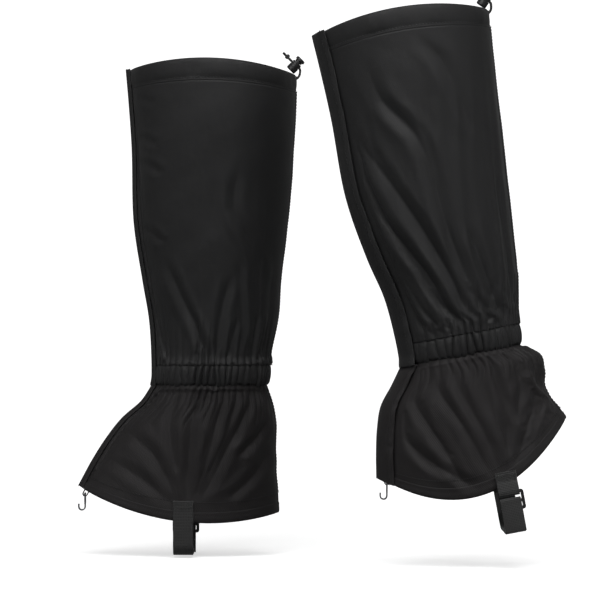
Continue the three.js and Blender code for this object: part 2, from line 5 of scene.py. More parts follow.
import bmesh
import bpy
import numpy as np
from mathutils import Matrix, Vector
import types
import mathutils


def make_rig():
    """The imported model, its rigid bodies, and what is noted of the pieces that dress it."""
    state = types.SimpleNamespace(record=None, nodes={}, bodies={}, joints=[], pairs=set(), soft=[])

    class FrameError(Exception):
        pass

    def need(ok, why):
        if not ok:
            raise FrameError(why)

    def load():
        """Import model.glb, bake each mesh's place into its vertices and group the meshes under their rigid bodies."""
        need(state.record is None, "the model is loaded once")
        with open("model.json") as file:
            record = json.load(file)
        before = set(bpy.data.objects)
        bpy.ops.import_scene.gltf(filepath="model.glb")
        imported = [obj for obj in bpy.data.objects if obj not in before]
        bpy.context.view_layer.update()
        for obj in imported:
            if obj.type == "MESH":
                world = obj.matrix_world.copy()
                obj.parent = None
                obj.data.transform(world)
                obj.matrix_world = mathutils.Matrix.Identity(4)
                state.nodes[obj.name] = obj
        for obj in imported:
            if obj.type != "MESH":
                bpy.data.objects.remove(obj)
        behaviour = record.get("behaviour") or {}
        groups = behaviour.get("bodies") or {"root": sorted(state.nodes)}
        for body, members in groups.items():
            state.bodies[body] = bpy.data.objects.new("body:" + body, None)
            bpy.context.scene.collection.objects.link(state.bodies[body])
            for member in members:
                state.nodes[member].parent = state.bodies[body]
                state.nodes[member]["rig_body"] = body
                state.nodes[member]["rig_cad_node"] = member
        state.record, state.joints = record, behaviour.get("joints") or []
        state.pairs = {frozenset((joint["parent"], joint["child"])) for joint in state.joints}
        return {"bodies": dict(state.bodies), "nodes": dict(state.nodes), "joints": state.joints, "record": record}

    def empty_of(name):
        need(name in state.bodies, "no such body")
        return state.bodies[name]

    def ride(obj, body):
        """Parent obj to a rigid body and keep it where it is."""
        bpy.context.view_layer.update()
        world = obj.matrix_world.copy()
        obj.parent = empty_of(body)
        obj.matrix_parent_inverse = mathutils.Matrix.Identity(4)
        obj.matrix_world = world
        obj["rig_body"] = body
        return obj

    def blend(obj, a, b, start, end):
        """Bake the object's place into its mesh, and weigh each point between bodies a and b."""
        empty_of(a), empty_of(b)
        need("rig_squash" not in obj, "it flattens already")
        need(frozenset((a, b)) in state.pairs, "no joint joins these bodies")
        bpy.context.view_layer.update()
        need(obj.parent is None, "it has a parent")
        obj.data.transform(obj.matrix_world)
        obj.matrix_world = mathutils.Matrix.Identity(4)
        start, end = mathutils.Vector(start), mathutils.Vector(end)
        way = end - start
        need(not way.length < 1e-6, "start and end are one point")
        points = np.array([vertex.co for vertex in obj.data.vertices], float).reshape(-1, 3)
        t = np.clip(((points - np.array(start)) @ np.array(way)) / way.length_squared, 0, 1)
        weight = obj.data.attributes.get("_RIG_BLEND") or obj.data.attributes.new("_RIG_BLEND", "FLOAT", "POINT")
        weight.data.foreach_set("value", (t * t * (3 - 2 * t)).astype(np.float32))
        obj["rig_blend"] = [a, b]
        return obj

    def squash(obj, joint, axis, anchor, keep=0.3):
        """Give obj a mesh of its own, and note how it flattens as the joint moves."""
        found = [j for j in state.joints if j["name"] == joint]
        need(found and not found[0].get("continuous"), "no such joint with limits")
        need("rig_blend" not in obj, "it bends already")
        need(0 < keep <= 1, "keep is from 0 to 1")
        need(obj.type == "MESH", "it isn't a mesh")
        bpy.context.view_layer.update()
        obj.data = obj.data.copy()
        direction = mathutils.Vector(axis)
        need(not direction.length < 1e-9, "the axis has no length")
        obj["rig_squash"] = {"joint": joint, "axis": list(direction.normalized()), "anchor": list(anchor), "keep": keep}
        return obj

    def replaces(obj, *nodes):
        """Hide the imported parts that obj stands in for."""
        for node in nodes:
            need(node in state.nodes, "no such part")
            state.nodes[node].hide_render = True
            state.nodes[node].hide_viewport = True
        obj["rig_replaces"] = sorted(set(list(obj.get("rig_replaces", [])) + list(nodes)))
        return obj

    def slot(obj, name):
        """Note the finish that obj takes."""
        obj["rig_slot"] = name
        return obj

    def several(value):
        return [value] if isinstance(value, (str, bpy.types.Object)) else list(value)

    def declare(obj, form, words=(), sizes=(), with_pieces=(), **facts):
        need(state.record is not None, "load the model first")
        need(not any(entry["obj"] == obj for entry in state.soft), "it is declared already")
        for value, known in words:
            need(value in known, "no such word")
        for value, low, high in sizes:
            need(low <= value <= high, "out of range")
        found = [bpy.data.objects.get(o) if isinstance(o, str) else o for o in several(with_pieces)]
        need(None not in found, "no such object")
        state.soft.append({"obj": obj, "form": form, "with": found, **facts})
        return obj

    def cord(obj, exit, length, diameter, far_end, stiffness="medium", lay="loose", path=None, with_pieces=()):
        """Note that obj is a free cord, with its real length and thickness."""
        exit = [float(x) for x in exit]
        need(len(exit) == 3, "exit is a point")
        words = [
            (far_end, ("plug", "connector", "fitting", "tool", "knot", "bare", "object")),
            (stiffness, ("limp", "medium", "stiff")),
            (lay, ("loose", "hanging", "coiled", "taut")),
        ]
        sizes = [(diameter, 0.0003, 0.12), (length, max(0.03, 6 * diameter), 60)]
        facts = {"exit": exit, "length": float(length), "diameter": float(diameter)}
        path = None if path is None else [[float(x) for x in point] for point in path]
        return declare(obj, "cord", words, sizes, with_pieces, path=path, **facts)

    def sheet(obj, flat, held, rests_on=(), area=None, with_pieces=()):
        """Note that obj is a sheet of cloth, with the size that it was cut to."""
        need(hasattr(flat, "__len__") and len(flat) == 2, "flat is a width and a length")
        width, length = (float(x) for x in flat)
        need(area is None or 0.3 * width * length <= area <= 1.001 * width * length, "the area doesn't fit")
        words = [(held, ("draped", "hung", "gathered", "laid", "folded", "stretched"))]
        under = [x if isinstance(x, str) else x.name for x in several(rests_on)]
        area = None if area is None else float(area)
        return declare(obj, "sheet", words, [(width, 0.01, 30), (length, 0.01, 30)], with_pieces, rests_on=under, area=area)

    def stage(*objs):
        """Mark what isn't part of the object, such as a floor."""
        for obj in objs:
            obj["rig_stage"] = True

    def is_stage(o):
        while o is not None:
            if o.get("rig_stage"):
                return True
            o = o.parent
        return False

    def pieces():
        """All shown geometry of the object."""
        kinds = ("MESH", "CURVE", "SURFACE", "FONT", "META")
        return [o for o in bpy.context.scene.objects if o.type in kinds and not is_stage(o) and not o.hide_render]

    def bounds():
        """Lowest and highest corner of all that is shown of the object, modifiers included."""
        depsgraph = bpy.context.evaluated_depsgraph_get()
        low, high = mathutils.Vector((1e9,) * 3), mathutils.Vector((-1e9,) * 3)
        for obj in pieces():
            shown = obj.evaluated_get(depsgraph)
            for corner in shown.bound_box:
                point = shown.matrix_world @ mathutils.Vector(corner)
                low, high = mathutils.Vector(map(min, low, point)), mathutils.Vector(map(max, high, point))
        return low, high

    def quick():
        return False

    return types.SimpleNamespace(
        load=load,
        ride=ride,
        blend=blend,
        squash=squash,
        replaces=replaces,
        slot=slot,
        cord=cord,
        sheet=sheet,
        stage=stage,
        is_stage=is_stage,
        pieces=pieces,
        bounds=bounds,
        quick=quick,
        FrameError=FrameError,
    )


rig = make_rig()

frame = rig.load()
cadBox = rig.bounds()
mounts = {m["name"]: m for m in frame["record"]["mounts"]}
mm = 0.001

# The worn shape, in millimetres from the middle of each ankle band, as the model has it.
shape = {
    "height": 305, "rimDepth": 165, "rimWidth": 124, "ankleDepth": 112, "ankleWidth": 92,
    "rimHem": 20, "backRise": -5, "arch": 11.5, "band": 22, "cloth": 1.2, "gap": 0.4,
    "outerEdge": -6, "innerEdge": 10, "tapeStart": 3, "tapeWidth": 25,
    "flapStart": -11, "flapEnd": 32, "overlap": 1.2,
}
wear = {
    "right": {
        "lateral": 1, "pulled": 0, "seed": 3, "flapSeed": 51,
        "calf": [(1, 0.96, 1.09), (0.75, 0.75, 1.02), (0.5, 0.67, 0.85), (0.31, 0.34, 0.59),
                 (0.18, 0.09, 0.45), (0.05, 0, 0.13)],
        "skirt": [(0, 0, 0, 0, 92, 0), (11, -17, 6, -16, 96, 0), (31, -35, 10, -34, 99, 1),
                  (46, -54, 10.5, -57, 100, 5), (60, -76, 11, -84, 100, 11), (73.5, -101, 10, -126, 100, 19)],
        "strap": {"x": -27, "top": -124, "sole": -178},
    },
    "left": {
        "lateral": -1, "pulled": 11, "seed": 11, "flapSeed": 57,
        "calf": [(1, 0.96, 1.09), (0.75, 0.83, 0.88), (0.5, 0.83, 0.71), (0.31, 0.48, 0.54),
                 (0.18, 0.12, 0.38), (0.05, 0, 0.1)],
        "skirt": [(0, 0, 0, 0, 92, 0), (12, -17, 18, -11, 98, 0), (26, -35, 19.5, -23, 102, 3),
                  (33, -55, 18, -37, 106, 11), (38, -77, 22, -54, 108, 25), (42, -100, 30, -76, 108, 43)],
        "strap": {"x": 18, "top": -125, "sole": -184},
    },
}


# Lines and surfaces

def curveThrough(points, power=0.5):
    # a smooth line through every point, read at shares from 0 to 1
    p = np.array(points, float)
    p = np.vstack([2 * p[0] - p[1], p, 2 * p[-1] - p[-2]])
    step = np.linalg.norm(np.diff(p, axis=0), axis=1) ** power
    step = np.where(step < 1e-4, 1, step)

    def at(share):
        share = np.clip(np.atleast_1d(share), 0, 1) * (len(points) - 1)
        i = np.minimum(share.astype(int), len(points) - 2)
        w = (share - i)[:, None]
        a, b, c, d = (p[i + k] for k in range(4))
        before, along, after = (step[i + k][:, None] for k in range(3))
        leave = ((b - a) / before - (c - a) / (before + along) + (c - b) / along) * along
        arrive = ((c - b) / along - (d - b) / (along + after) + (d - c) / after) * along
        bow = 3 * (c - b) - 2 * leave - arrive
        return b + leave * w + bow * w**2 + (2 * (b - c) + leave + arrive) * w**3

    return at


def smooth(value, low, high):
    # 0 below low, 1 above high, eased between
    w = np.clip((value - low) / (high - low), 0, 1)
    return w * w * (3 - 2 * w)


def unit(vectors):
    return vectors / np.maximum(np.linalg.norm(vectors, axis=-1, keepdims=True), 1e-12)


def runLength(points):
    # the distance along a line at each of its points
    return np.cumsum(np.r_[0, np.linalg.norm(np.diff(points, axis=0), axis=1)])


def evenly(points, count):
    # the same line at points spaced evenly along it
    points = np.asarray(points, float)
    length = runLength(points)
    where = np.linspace(0, length[-1], count)
    return np.column_stack([np.interp(where, length, axis) for axis in points.T])


def clothArcs(share, whole):
    # arcs from the cloth's outer front edge (0) round to its inner one (1)
    return shape["outerEdge"] + share * (whole - shape["innerEdge"] - shape["outerEdge"])


class Sleeve:
    # stations from top to bottom: front x, front z, back x, back z, width, sag of the sides
    def __init__(self, stations, lateral):
        self.lateral = lateral
        self.front = curveThrough([(s[0], 0, s[1]) for s in stations])
        self.back = curveThrough([(s[2], 0, s[3]) for s in stations])
        self.girth = curveThrough([(s[4] / 2, s[5], 0) for s in stations])

    def base(self, t, angle):
        front, back, girth = (curve(t)[:, None, :] for curve in (self.front, self.back, self.girth))
        sine = np.sin(angle)
        p = (front + back) / 2 + (front - back) / 2 * np.cos(angle)[..., None]
        p[..., 1] += self.lateral * girth[..., 0] * sine
        p[..., 2] -= girth[..., 1] * sine**2
        return p

    def table(self, t):
        turn = np.linspace(0, 2 * np.pi, 361)
        p = self.base(t, np.tile(turn, (len(t), 1)))
        length = np.cumsum(np.linalg.norm(np.diff(p, axis=1), axis=2), axis=1)
        return turn, np.hstack([np.zeros((len(t), 1)), length])

    def round(self, t):
        return self.table(np.atleast_1d(t))[1][:, -1]

    def angles(self, t, arcs):
        turn, lengths = self.table(t)
        whole = lengths[:, -1:]
        return np.array([np.interp(a, l, turn) for a, l in zip(np.mod(arcs, whole), lengths)])

    # arcs are measured round from the front line, outwards first
    def points(self, t, arcs, offset=0):
        angle = self.angles(t, arcs)
        nudge = 0.01
        here = self.base(t, angle)
        around = self.base(t, angle + nudge) - self.base(t, angle - nudge)
        down = self.base(np.minimum(1, t + nudge), angle) - self.base(np.maximum(0, t - nudge), angle)
        normal = np.cross(around, down) * self.lateral
        normal /= np.linalg.norm(normal, axis=2, keepdims=True)
        return here + normal * np.broadcast_to(offset, angle.shape)[..., None]

    def shareAt(self, height):
        t = np.linspace(0, 1, 2001)
        return float(np.interp(-height, -self.front(t)[:, 2], t))


def calfSleeve(worn):
    def depth(fullness):
        return (shape["ankleDepth"] + (shape["rimDepth"] - shape["ankleDepth"]) * fullness) / 2
    rows = []
    for i, (share, front, back) in enumerate(worn["calf"]):
        z = (shape["height"] + worn["pulled"]) * share
        width = shape["ankleWidth"] + (shape["rimWidth"] - shape["ankleWidth"]) * min(1, 1.6 * share)
        rise, arch = (shape["backRise"], shape["arch"]) if i == 0 else (0, 0)
        rows.append((-depth(front), z, depth(back), z + rise, width, -arch))
    low, z = shape["ankleDepth"] / 2, -shape["band"] / 2
    return Sleeve(rows + [(-low, z, low, z, shape["ankleWidth"], 0)], worn["lateral"])


def skirtSleeve(worn):
    top, half = -shape["band"] / 2 - shape["gap"], shape["ankleDepth"] / 2
    rows = [(-half - a, top + b, half + c, top + d, w, s) for a, b, c, d, w, s in worn["skirt"]]
    return Sleeve(rows, worn["lateral"])


def placeOf(side):
    # the gaiter's own frame, in the row frame
    mount = mounts[side + "_leg"]
    x, _, z = mount["axis"]
    return Matrix.Translation(mount["pos_m"]) @ Matrix.Rotation(math.atan2(x, z), 4, "Y")


class Gaiter:
    def __init__(self, side):
        worn = wear[side]
        self.side, self.worn, self.lateral, self.seed = side, worn, worn["lateral"], worn["seed"]
        self.height = shape["height"] + worn["pulled"]
        self.calf, self.skirt, self.place = calfSleeve(worn), skirtSleeve(worn), placeOf(side)

    def put(self, points):
        # millimetres in the gaiter's frame to metres in the row frame
        m = np.array(self.place)
        return np.asarray(points, float) * mm @ m[:3, :3].T + m[:3, 3]

    def name(self, part):
        # of a piece, a node or a body
        return self.side + "_" + part


pair = [Gaiter("right"), Gaiter("left")]
print("frame loaded,", len(frame["nodes"]), "nodes")


# Camera, floor and light

view = {"distance": 4.18, "x": 0.0885, "z": 0.077, "width": 0.6, "floor": -0.181}
camera = bpy.data.objects.new("camera", bpy.data.cameras.new("camera"))
bpy.context.scene.collection.objects.link(camera)
camera.data.lens = 36 * view["distance"] / view["width"]
camera.location = (view["x"], -view["distance"], view["z"])
camera.rotation_euler = (math.pi / 2, 0, 0)
camera.data.clip_end = 50
bpy.context.scene.camera = camera


def softBox(name, place, aim, size, power):
    lamp = bpy.data.lights.new(name, "AREA")
    lamp.shape = "RECTANGLE"
    lamp.size, lamp.size_y, lamp.energy = *size, power
    holder = bpy.data.objects.new(name, lamp)
    bpy.context.scene.collection.objects.link(holder)
    holder.location = place
    holder.rotation_euler = (Vector(aim) - Vector(place)).to_track_quat("-Z", "Y").to_euler()


softBox("frontLight", (0.1, -1.6, 1.5), (0.1, 0, 0.24), (1.6, 0.8), 29)
softBox("leftLight", (-2.3, -1.5, 0.9), (0.05, 0, 0.08), (0.8, 1.6), 13)
softBox("rightLight", (2.3, -1.7, 1.2), (0.1, 0, 0.12), (0.8, 1.6), 15)
softBox("topLight", (0.2, -1.0, 2.6), (0.1, 0, 0.1), (1.6, 0.8), 18)

world = bpy.data.worlds.new("room")
bpy.context.scene.world = world
world.use_nodes = True
world.node_tree.nodes["Background"].inputs["Color"].default_value = (1, 1, 1, 1)
world.node_tree.nodes["Background"].inputs["Strength"].default_value = 0.15
bpy.context.scene.view_settings.view_transform = "Standard"


# Materials

class Value:
    # a socket that plain arithmetic can be written on
    def __init__(self, nodes, socket):
        self.nodes, self.socket = nodes, socket

    def math(self, operation, *others):
        return self.nodes.add("ShaderNodeMath", {"operation": operation}, [self, *others])

    def __add__(self, other):
        return self.math("ADD", other)

    def __sub__(self, other):
        return self.math("SUBTRACT", other)

    def __mul__(self, other):
        return self.math("MULTIPLY", other)

    def __rsub__(self, other):
        return self.nodes.add("ShaderNodeMath", {"operation": "SUBTRACT"}, [other, self])

    __radd__, __rmul__ = __add__, __mul__


class Finish:
    def __init__(self, name):
        self.material = bpy.data.materials.new(name)
        self.material.use_nodes = True
        self.tree = self.material.node_tree
        self.shader = self.tree.nodes["Principled BSDF"]

    def feed(self, socket, value):
        if isinstance(value, Value):
            self.tree.links.new(value.socket, socket)
        elif hasattr(value, "__len__"):
            socket.default_value = (*value, 1) if len(value) == 3 and socket.type == "RGBA" else tuple(value)
        else:
            socket.default_value = value

    def add(self, kind, settings=None, inputs=(), output=0):
        node = self.tree.nodes.new(kind)
        for key, value in (settings or {}).items():
            if key == "stops":
                for stop, (place, color) in zip(node.color_ramp.elements, value):
                    stop.position, stop.color = place, (*color, 1)
            else:
                setattr(node, key, value)
        pairs = inputs.items() if isinstance(inputs, dict) else enumerate(inputs)
        for key, value in pairs:
            self.feed(node.inputs[key], value)
        return Value(self, node.outputs[output])

    def set(self, **inputs):
        for key, value in inputs.items():
            self.feed(self.shader.inputs[key.replace("_", " ")], value)

    def noise(self, where, scale, detail=2, rough=0.5):
        return self.add("ShaderNodeTexNoise", {}, {"Vector": where, "Scale": scale, "Detail": detail,
                                                   "Roughness": rough}, "Fac")

    def uv(self):
        return self.add("ShaderNodeTexCoord", output="UV")

    def object(self):
        return self.add("ShaderNodeTexCoord", output="Object")

    def split(self, vector):
        node = self.add("ShaderNodeSeparateXYZ", {}, [vector]).socket.node
        return [Value(self, out) for out in node.outputs]

    def blendColor(self, factor, a, b):
        node = self.tree.nodes.new("ShaderNodeMix")
        node.data_type = "RGBA"
        self.feed(node.inputs["Factor"], factor)
        for key, value in (("A", a), ("B", b)):
            self.feed(next(s for s in node.inputs if s.name == key and s.type == "RGBA"), value)
        return Value(self, next(s for s in node.outputs if s.type == "RGBA"))

    def bump(self, height, distance, strength=1.0, under=None):
        inputs = {"Height": height, "Distance": distance, "Strength": strength}
        if under:
            inputs["Normal"] = under
        return self.add("ShaderNodeBump", {}, inputs)


def clothFinish(name, color, light, roughness, sheen, thread, depth):
    # plain weave: threads over and under each other on the piece's own UV map, in metres
    f = Finish(name)
    u, v, _ = f.split(f.uv())
    wide = (u * (math.pi / thread)).math("SINE")
    tall = (v * (math.pi / thread)).math("SINE")
    weave = wide * tall
    where = f.object()
    patches = f.noise(where, 14, 3)
    fine = f.noise(where, 900, 2, 0.6)
    tone = f.blendColor(patches * 0.6 + fine * 0.3 + weave * 0.12, color, light)
    creases = f.noise(where, 70, 4, 0.55)
    relief = f.bump(creases, 0.0012, 0.35)
    normal = f.bump(weave + fine * 0.6, depth, 0.6, relief)
    f.set(Base_Color=tone, Roughness=patches * 0.12 + fine * 0.08 + (roughness - 0.1), Normal=normal)
    f.set(Sheen_Weight=sheen, Sheen_Roughness=0.45, Specular_IOR_Level=0.3)
    return f.material


def webbingFinish(name, color, light):
    # ribs across the tape in rows of slanting threads
    f = Finish(name)
    u, v, _ = f.split(f.uv())
    rows = (u * (math.pi / 0.0016)).math("SINE")
    slant = ((v + (rows.math("ABSOLUTE") * 0.0004)) * (2 * math.pi / 0.0015)).math("SINE")
    weave = slant * 0.5 + rows.math("ABSOLUTE") * 0.5
    fuzz = f.noise(f.object(), 1200, 2, 0.6)
    f.set(Base_Color=f.blendColor(weave * 0.4 + fuzz * 0.4, color, light), Roughness=fuzz * 0.15 + 0.68)
    f.set(Normal=f.bump(weave + fuzz * 0.3, 0.0003, 0.8), Sheen_Weight=0.25, Sheen_Roughness=0.5)
    return f.material


def tapeFinish(name, color, light, scale, depth):
    # hooks or loops standing on a woven tape
    f = Finish(name)
    where = f.object()
    cells = f.add("ShaderNodeTexVoronoi", {}, {"Vector": where, "Scale": scale}, "Distance")
    fuzz = f.noise(where, scale * 1.7, 3, 0.7)
    f.set(Base_Color=f.blendColor(fuzz, color, light), Roughness=0.9)
    f.set(Normal=f.bump(fuzz - cells * 0.8, depth, 1.0), Sheen_Weight=0.4, Sheen_Roughness=0.6)
    return f.material


def plasticFinish(name, color, light):
    f = Finish(name)
    where = f.object()
    grain = f.noise(where, 2500, 2, 0.5)
    cloud = f.noise(where, 60, 3, 0.6)
    f.set(Base_Color=f.blendColor(cloud, color, light), Roughness=cloud * 0.14 + grain * 0.1 + 0.3)
    f.set(Normal=f.bump(grain, 0.00008, 0.5), Specular_IOR_Level=0.5)
    return f.material


def steelFinish(name, color, dark):
    f = Finish(name)
    where = f.object()
    scratch = f.noise(f.add("ShaderNodeMapping", {}, {"Vector": where, "Scale": (1, 12, 1)}), 500, 3, 0.6)
    stain = f.noise(where, 90, 3, 0.6)
    f.set(Base_Color=f.blendColor(stain * stain, color, dark), Metallic=1.0)
    f.set(Roughness=scratch * 0.2 + stain * 0.15 + 0.15, Normal=f.bump(scratch, 0.00004, 0.5))
    return f.material


def cordFinish(name, color, light):
    # braid: two sets of strands winding opposite ways along the cord's UV map
    f = Finish(name)
    u, v, _ = f.split(f.uv())
    one = ((u * 4 + v * 900) * (2 * math.pi)).math("SINE")
    other = ((u * 4 - v * 900) * (2 * math.pi)).math("SINE")
    braid = one * other
    fuzz = f.noise(f.object(), 2500, 2, 0.6)
    f.set(Base_Color=f.blendColor(braid * 0.4 + fuzz * 0.4, color, light), Roughness=0.75)
    f.set(Normal=f.bump(braid + fuzz * 0.3, 0.0002, 0.8), Sheen_Weight=0.2)
    return f.material


def threadFinish(name, color, light):
    f = Finish(name)
    twist = f.noise(f.object(), 3500, 2, 0.6)
    f.set(Base_Color=f.blendColor(twist, color, light), Roughness=twist * 0.2 + 0.5)
    f.set(Sheen_Weight=0.05, Specular_IOR_Level=0.3)
    return f.material


def stageFinish(name, color, near, far):
    # pale and plain, with painted light: a glow that brightens from near to far with the distance from the object,
    # filling in where the lamps' light falls off
    f = Finish(name)
    where = f.object()
    cloud = f.noise(where, 3, 3, 0.5)
    x, y, _ = f.split(where)
    away = (x * x + y * y).math("SQRT")
    share = ((away - 0.6) * 0.7).math("MAXIMUM", 0).math("MINIMUM", 1)
    f.set(Base_Color=f.blendColor(cloud, color, (0.9, 0.9, 0.9)), Roughness=0.9)
    # painted light: the emission grows from near to far, standing in for lamp light on the floor
    f.set(Emission_Color=f.blendColor(share, (near,) * 3, (far,) * 3), Emission_Strength=1)
    return f.material


finishes = {
    "calfCloth": clothFinish("calfCloth", (0.0062, 0.0062, 0.0065), (0.0104, 0.0104, 0.0108),
                             0.56, 0.05, 0.0007, 0.00012),
    "skirtCloth": clothFinish("skirtCloth", (0.0062, 0.0051, 0.0054), (0.0104, 0.0088, 0.0092),
                              0.64, 0.04, 0.0009, 0.00018),
    "webbing": webbingFinish("webbing", (0.006, 0.006, 0.006), (0.018, 0.018, 0.018)),
    "loopTape": tapeFinish("loopTape", (0.005, 0.005, 0.005), (0.02, 0.02, 0.02), 900, 0.0006),
    "hookTape": tapeFinish("hookTape", (0.004, 0.004, 0.004), (0.012, 0.012, 0.012), 1500, 0.0005),
    "plastic": plasticFinish("plastic", (0.006, 0.006, 0.0065), (0.012, 0.012, 0.0125)),
    "steel": steelFinish("steel", (0.42, 0.43, 0.45), (0.2, 0.2, 0.2)),
    "cord": cordFinish("cord", (0.005, 0.005, 0.005), (0.02, 0.02, 0.02)),
    "thread": threadFinish("thread", (0.005, 0.005, 0.005), (0.012, 0.012, 0.012)),
}
print("materials made")


# Making meshes

def makeObject(name, points, faces, uvs, finish, outward=True):
    mesh = bpy.data.meshes.new(name)
    mesh.from_pydata([tuple(p) for p in points], [], faces)
    layer = mesh.uv_layers.new(name="UVMap")
    corner = np.zeros(len(mesh.loops), int)
    mesh.loops.foreach_get("vertex_index", corner)
    layer.data.foreach_set("uv", np.asarray(uvs, float)[corner].ravel())
    mesh.polygons.foreach_set("use_smooth", [True] * len(mesh.polygons))
    mesh.materials.append(finishes[finish])
    obj = bpy.data.objects.new(name, mesh)
    bpy.context.scene.collection.objects.link(obj)
    if outward:
        b = bmesh.new()
        b.from_mesh(mesh)
        bmesh.ops.recalc_face_normals(b, faces=b.faces)
        b.to_mesh(mesh)
        b.free()
    return obj


def gridFaces(rows, columns, flip):
    i, j = np.meshgrid(np.arange(rows - 1), np.arange(columns - 1), indexing="ij")
    a = (i * columns + j).ravel()
    quads = np.stack([a, a + columns, a + columns + 1, a + 1], 1)
    return (quads[:, ::-1] if flip else quads).tolist()


def tubeFaces(rings, around):
    faces = []
    for i in range(rings - 1):
        for j in range(around):
            k = (j + 1) % around
            faces.append((i * around + j, i * around + k, (i + 1) * around + k, (i + 1) * around + j))
    faces.append(tuple(range(around)))
    faces.append(tuple((rings - 1) * around + j for j in reversed(range(around))))
    return faces


def sweep(gaiter, part, rings, along, across, finish):
    # rings (n, k, 3) of closed outlines, in millimetres, joined end to end and capped
    n, k = rings.shape[:2]
    uvs = np.stack([np.broadcast_to(across, (n, k)), np.broadcast_to(np.asarray(along)[:, None], (n, k))], 2)
    points = gaiter.put(rings.reshape(-1, 3))
    return makeObject(gaiter.name(part), points, tubeFaces(n, k), uvs.reshape(-1, 2) * mm, finish)


def baked(obj):
    # the modifiers' result becomes the piece's own mesh
    bpy.context.view_layer.update()
    depsgraph = bpy.context.evaluated_depsgraph_get()
    mesh = bpy.data.meshes.new_from_object(obj.evaluated_get(depsgraph), depsgraph=depsgraph)
    obj.modifiers.clear()
    old, obj.data = obj.data, mesh
    bpy.data.meshes.remove(old)
    return obj


def wall(obj, thickness):
    solid = obj.modifiers.new("wall", "SOLIDIFY")
    solid.thickness, solid.offset, solid.use_even_offset = thickness * mm, -1, False
    return baked(obj)


# Folds: each is a line in the side view, from the front edge (0) to the back (1) and in height,
# with its height and width in millimetres. near is the side towards the camera.

foldStyle = {"depth": 0.62, "width": 0.8}


def foldHeight(folds, across, height, depth):
    out = np.zeros(across.shape)
    for line, tall, wide in folds:
        line = np.array(line, float)
        path = curveThrough(np.column_stack([line, np.zeros(len(line))]))(np.linspace(0, 1, 25))[:, :2]
        best = np.full(across.shape, 1e9)
        where = np.zeros(across.shape)
        for i in range(len(path) - 1):
            a, b = path[i] * (depth, 1), path[i + 1] * (depth, 1)
            d = b - a
            px, pz = across * depth - a[0], height - a[1]
            w = np.clip((px * d[0] + pz * d[1]) / (d @ d), 0, 1)
            gap = np.hypot(px - w * d[0], pz - w * d[1])
            nearer = gap < best
            best = np.where(nearer, gap, best)
            where = np.where(nearer, (i + w) / (len(path) - 1), where)
        ends = smooth(where, 0, 0.3) * (1 - smooth(where, 0.85, 1.0))
        r = best / (wide * foldStyle["width"])
        # a crease is sharp along its middle, with a full shoulder on both sides
        groove, shoulder = np.exp(-(r**1.4)), np.exp(-(((r - 2.1) / 1.1) ** 2))
        out += foldStyle["depth"] * tall * ends * (groove - 0.55 * shoulder)
    return out


def wander(x, seed, count=5, base=1.0):
    # a smooth uneven wave, the same each run
    rng = np.random.default_rng(seed)
    out = np.zeros(np.shape(x))
    for k in range(1, count + 1):
        out = out + rng.uniform(0.5, 1) / k * np.sin(2 * np.pi * (base * k * x + rng.uniform()))
    return out / 1.6


pleats = {"count": 44, "depth": 2.3}


def pleat(share, seed):
    # gathered cloth round the ankle: full rounded ridges with sharp uneven valleys
    phase = pleats["count"] * share + 1.3 * wander(share, seed, 6, 1)
    ridge = np.abs(np.sin(np.pi * phase)) ** 0.6
    return (ridge - 0.55) * (1 + 0.8 * wander(share, seed + 7, 6, 5))


# Draping

drapeSettings = {
    "thickness": 0.001, "friction": 8, "damping": 20, "bendDamping": 1.0, "airDamping": 6,
    "pinStiffness": 1, "collisionQuality": 2,
}


def drape(name, start, cut, pins, form, settings):
    # start and cut are (rows, columns, 3) grids in metres: as worn, and as cut; form is the leg inside
    rows, columns = start.shape[:2]
    cloth = makeObject(name, start.reshape(-1, 3), gridFaces(rows, columns, False),
                       np.zeros((rows * columns, 2)), "calfCloth", outward=False)
    cloth.shape_key_add(name="worn")
    key = cloth.shape_key_add(name="cut")
    key.data.foreach_set("co", cut.astype(np.float32).ravel())
    held = cloth.vertex_groups.new(name="held")
    for weight in np.unique(np.round(pins, 2)):
        held.add(np.flatnonzero(np.round(pins.ravel(), 2) == weight).tolist(), float(weight), "REPLACE")
    leg = makeObject(name + "Leg", form.reshape(-1, 3), gridFaces(*form.shape[:2], False),
                     np.zeros((form.shape[0] * form.shape[1], 2)), "calfCloth", outward=False)
    leg.modifiers.new("collision", "COLLISION")
    leg.collision.thickness_outer = drapeSettings["thickness"]
    leg.collision.cloth_friction = drapeSettings["friction"]
    modifier = cloth.modifiers.new("cloth", "CLOTH")
    c = modifier.settings
    c.quality, c.mass = settings["quality"], settings["mass"]
    c.tension_stiffness = c.compression_stiffness = settings["stretch"]
    c.shear_stiffness, c.bending_stiffness = settings["shear"], settings["bend"]
    c.tension_damping = c.compression_damping = c.shear_damping = drapeSettings["damping"]
    c.bending_damping, c.air_damping = drapeSettings["bendDamping"], drapeSettings["airDamping"]
    c.vertex_group_mass, c.pin_stiffness = "held", drapeSettings["pinStiffness"]
    c.rest_shape_key = key
    modifier.collision_settings.distance_min = drapeSettings["thickness"]
    modifier.collision_settings.collision_quality = drapeSettings["collisionQuality"]
    scene = bpy.context.scene
    scene.frame_start, scene.frame_end = 1, settings["frames"]
    modifier.point_cache.frame_start, modifier.point_cache.frame_end = 1, settings["frames"]
    for number in range(1, settings["frames"] + 1):
        scene.frame_set(number)
    depsgraph = bpy.context.evaluated_depsgraph_get()
    mesh = cloth.evaluated_get(depsgraph).data
    out = np.zeros(rows * columns * 3, np.float32)
    mesh.vertices.foreach_get("co", out)
    for obj in (cloth, leg):
        data = obj.data
        bpy.data.objects.remove(obj)
        bpy.data.meshes.remove(data)
    scene.frame_set(1)
    return out.reshape(rows, columns, 3).astype(float)


